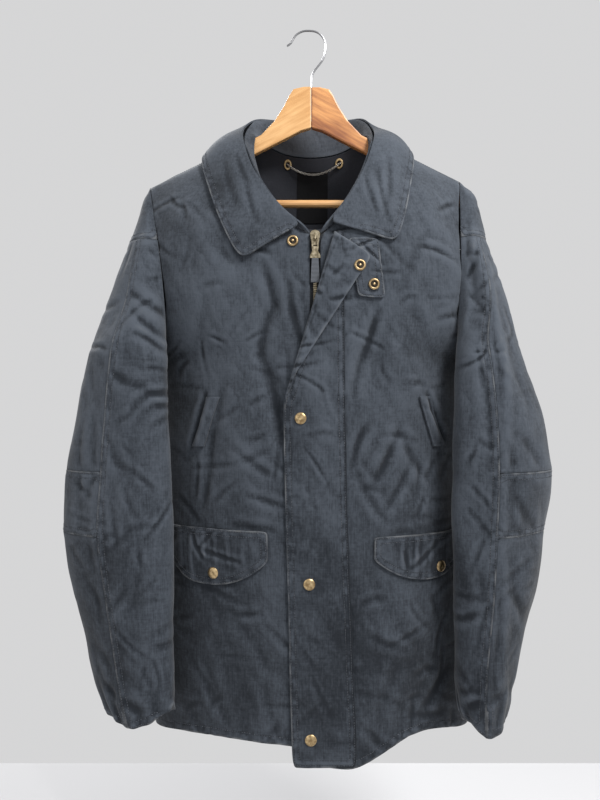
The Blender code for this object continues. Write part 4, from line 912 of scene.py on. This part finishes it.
f = Finish("old_brass", Metallic=1.0)
patina = f.grain((220, 220, 220), 4)
BRASS = f.finish(f.mix(patina.ramp(0.3, 0.75), (0.28, 0.19, 0.095), (0.66, 0.5, 0.28)),
                 0.3 + patina * 0.22, patina * 0.08)
f = Finish("zip_metal", Metallic=1.0)
patina = f.grain((260, 260, 260), 4)
ZIP_METAL = f.finish(f.mix(patina.ramp(0.3, 0.75), (0.2, 0.165, 0.105), (0.52, 0.45, 0.32)),
                     0.32 + patina * 0.2, patina * 0.08)
f = Finish("zip_tape_cloth", Roughness=0.9)
herring = f.grain((700, 700, 700), 1, (0, 0.7, 0))
TAPE = f.finish(f.mix(herring, (0.008, 0.009, 0.012), (0.03, 0.032, 0.038)), None, herring * 0.3)
f = Finish("grip_rubber", Roughness=0.55)
ribs = f.node("TexCoord", output=3)
ribs = f.node("TexWave", {"bands_direction": "Z"}, {"Vector": ribs, "Scale": 190.0})
# the colour is painted shade in the grooves between the ribs and painted light on their crests
GRIP = f.finish(f.mix(ribs, (0.03, 0.034, 0.04), (0.095, 0.105, 0.125)), None, ribs * 0.5)


def dress(finish, *names):
    """Give pieces that keep their own form their finish."""
    for name in names:
        nodes[name].data.materials.clear()
        nodes[name].data.materials.append(finish)


dress(TAPE, "zip_tape_left", "zip_tape_right")
dress(ZIP_METAL, "zip_slider", "zip_pull_tab")
dress(GRIP, "zip_pull_grip")

strip = positions(nodes["zip_teeth"].data)
heights = np.unique(np.round(strip[:, 2], 1))
depths = [strip[np.abs(strip[:, 2] - z) < 0.2][:, 1].mean() for z in heights]
zip_x = strip[:, 0].mean()


def tooth_mesh(sign):
    """One cast tooth, reaching past the middle of the chain; X is along the zip."""
    bm = bmesh.new()
    bmesh.ops.create_cube(bm, size=1)
    for vert in bm.verts:
        x, y, z = vert.co
        width = TOOTH_TIP if z * sign > 0 else TOOTH_ROOT
        vert.co = Vector((x * width, y * TOOTH_DEPTH, z * TOOTH_REACH - sign * TOOTH_ASIDE)) * MM
    return finished_mesh("tooth", bm)


for side, sign in SIDES.items():
    lowest = heights[0] + 1 + (RIGHT_HIGHER if side == "right" else 0)
    chain = [(zip_x, np.interp(z, heights, depths), z) for z in np.arange(lowest, heights[-1], 1.2)]
    teeth = along_curve("zip_teeth_" + side, tooth_mesh(sign), ZIP_METAL, [chain], TOOTH_PITCH)
    teeth.data.shade_flat()
    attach(teeth, JACKET)
    if side == "left":
        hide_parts("zip_teeth")


# ---------------------------------------------------------------- snaps
# Ring-and-cap snap fasteners, 15 mm across, of aged brass: five domed caps with a dimple, and
# three open halves whose ring stands round a dark socket.
# profiles as radius and height, from the middle of the front over the edge to the middle of the back
CAP = [(0, 1.55), (1.0, 1.7), (1.6, 2.15), (3.6, 2.1), (5.4, 1.75), (6.8, 1.05), (7.45, 0.4),
       (7.3, 0.0), (0, 0)]
RING = [(0, 2.3), (1.2, 2.25), (1.7, 1.7), (1.9, 0.8), (4.0, 0.7), (4.6, 1.9), (5.2, 2.3),
        (6.3, 2.2), (7.2, 1.4), (7.45, 0.5), (7.3, 0.0), (0, 0)]
SOCKET_FROM, SOCKET_TO = 1.75, 4.5    # radii of the dark socket in a ring
f = Finish("snap_socket", Metallic=0.8, Roughness=0.5)
SOCKET = f.finish(f.mix(f.grain((300, 300, 300)), (0.02, 0.016, 0.012), (0.07, 0.055, 0.04)))


def snap_axis(node):
    """Middle of a snap's back face and the direction it faces."""
    co = positions(nodes[node].data)
    middle = co.mean(axis=0)
    _, _, rows = np.linalg.svd(co - middle)
    axis = rows[2] if rows[2][1] < 0 else -rows[2]
    base = ((co - middle) @ axis).min()
    across = co[((co - middle) @ axis) < base + 0.05]
    return Vector(across.mean(axis=0)), Vector(axis)


def lathe(name, profile, sides=40):
    """A profile turned about Z; its points on the axis stay single."""
    bm = bmesh.new()
    rings = [[bm.verts.new((*xy, height)) for xy in (circle(radius, sides) if radius else [(0, 0)])]
             for radius, height in profile]
    for upper, lower in zip(rings, rings[1:]):
        for k in range(sides):
            m = (k + 1) % sides
            corners = (upper[k % len(upper)], lower[k % len(lower)],
                       lower[m % len(lower)], upper[m % len(upper)])
            bm.faces.new(list(dict.fromkeys(corners)))
    bmesh.ops.recalc_face_normals(bm, faces=bm.faces)
    return finished_mesh(name, bm)


for node in [n for n in nodes if n.startswith("snap_")]:
    ring = node.startswith("snap_ring")
    mesh = lathe("fine_" + node, RING if ring else CAP)
    place, axis = snap_axis(node)
    turn = axis.to_track_quat("Z", "Y").to_matrix().to_4x4()
    mesh.materials.append(BRASS)
    mesh.materials.append(SOCKET)
    for face in mesh.polygons:
        radius = math.hypot(*face.center[:2])
        face.material_index = int(ring and SOCKET_FROM < radius < SOCKET_TO)
    mesh.transform(Matrix.Scale(MM, 4) @ Matrix.Translation(place) @ turn)
    mesh.shade_smooth()
    mesh.set_sharp_from_angle(angle=math.radians(50))
    snap = bpy.data.objects.new("fine_" + node, mesh)
    bpy.context.scene.collection.objects.link(snap)
    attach(snap, JACKET)
    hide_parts(node)


# ---------------------------------------------------------------- label, eyelets and hanging chain
# Inside the back neck: a plain black woven label, and a fine curb chain between two brass eyelets
# that the jacket can hang from on a peg.
LINK_RADIUS, LINK_WIRE, LINK_EVERY = 1.6, 0.52, 2.8
LINK_STRETCH = (1.35, 0.85, 1, 1)     # along the chain and across it
LINK_ROLL = math.radians(82)          # from one link to the next
BAR_RADIUS, END_LENGTH = 1.2, 0.9     # of the plain bar whose place the chain takes

f = Finish("label_satin", Roughness=0.7, Specular_IOR_Level=0.12)
rib = f.grain((1800, 1800, 90))
LABEL = f.finish(f.mix(rib, (0.002, 0.002, 0.0025), (0.009, 0.009, 0.01)), None, rib * 0.2)
dress(LABEL, "label")
dress(BRASS, "eyelet_left", "eyelet_right")

f = Finish("chain_steel", Metallic=1.0)
tarnish = f.grain((400, 400, 400), 3)
CHAIN = f.finish(f.mix(tarnish, (0.3, 0.28, 0.25), (0.6, 0.58, 0.54)), 0.28 + tarnish * 0.2)
bar = positions(nodes["hanging_chain"].data)
bar_x = bar[:, 0]
left_end = Vector(bar[bar_x < bar_x.min() + END_LENGTH].mean(axis=0))
right_end = Vector(bar[bar_x > bar_x.max() - END_LENGTH].mean(axis=0))
sag = (left_end.z + right_end.z) / 2 - bar[:, 2].min() - BAR_RADIUS
chain = [left_end.lerp(right_end, t) - Vector((0, 0, sag * 4 * t * (1 - t)))
         for t in (k / 24 for k in range(25))]
bpy.ops.mesh.primitive_torus_add(major_radius=LINK_RADIUS * MM, minor_radius=LINK_WIRE * MM,
                                 major_segments=14, minor_segments=6)
link = bpy.context.object
link_mesh = link.data
bpy.data.objects.remove(link)
link_mesh.transform(Matrix.Diagonal(LINK_STRETCH))
chain = along_curve("chain_links", link_mesh, CHAIN, [chain], LINK_EVERY, LINK_ROLL)
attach(chain, JACKET)
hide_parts("hanging_chain")


# ---------------------------------------------------------------- hanger
# Two arms of varnished beech glued at the middle, a turned trouser bar and a bent steel hook.
# The left arm is paler and the right one more orange, with darker grain.
def beech(name, pale, mid, dark, turn):
    f = Finish(name, Coat_Weight=0.25, Coat_Roughness=0.25)
    grain = f.grain((30, 220, 260), 3, (0, turn, 0))
    pores = f.grain((110, 1500, 1500), 2, (0, turn, 0))
    rings = f.grain((7, 30, 42), 2, (0, turn, 0))
    share = (grain * 0.6 + rings * 0.7 - 0.15).ramp(0.2, 0.8)
    colour = f.mix(share, f.mix(rings.ramp(0.35, 0.7), pale, mid), dark)
    colour = f.mix(pores.ramp(0.62, 0.78) * 0.4, colour, dark)
    return f.finish(colour, 0.36 + grain * 0.15, grain * 0.12 - pores * 0.1)


LIGHT = beech("pale_beech", (0.74, 0.44, 0.19), (0.66, 0.36, 0.135), (0.46, 0.22, 0.065), 0.5)
DARK = beech("orange_beech", (0.72, 0.34, 0.115), (0.6, 0.24, 0.07), (0.2, 0.06, 0.018), -0.5)
BAR = beech("bar_beech", (0.78, 0.46, 0.2), (0.7, 0.38, 0.14), (0.5, 0.24, 0.08), 0.0)
f = Finish("hook_steel", Metallic=1.0, Base_Color=(0.27, 0.27, 0.28, 1))
STEEL = f.finish(None, 0.34 + f.grain((120, 120, 120)) * 0.12)
dress(LIGHT, "hanger_arm_left")
dress(DARK, "hanger_arm_right")
dress(BAR, "hanger_bar")
dress(STEEL, "hanger_hook")


# ---------------------------------------------------------------- floor
# A plain pale floor a little below the hem.
bpy.ops.mesh.primitive_plane_add(size=1, location=(0, -0.74, -1.25))
floor = bpy.context.object
floor.name = "floor"
floor.scale = (6, 2.32, 1)
bpy.ops.object.transform_apply(location=True, rotation=True, scale=True)
f = Finish("pale_floor", Roughness=0.9, Base_Color=(0.6, 0.6, 0.61, 1))
floor.data.materials.append(f.material)
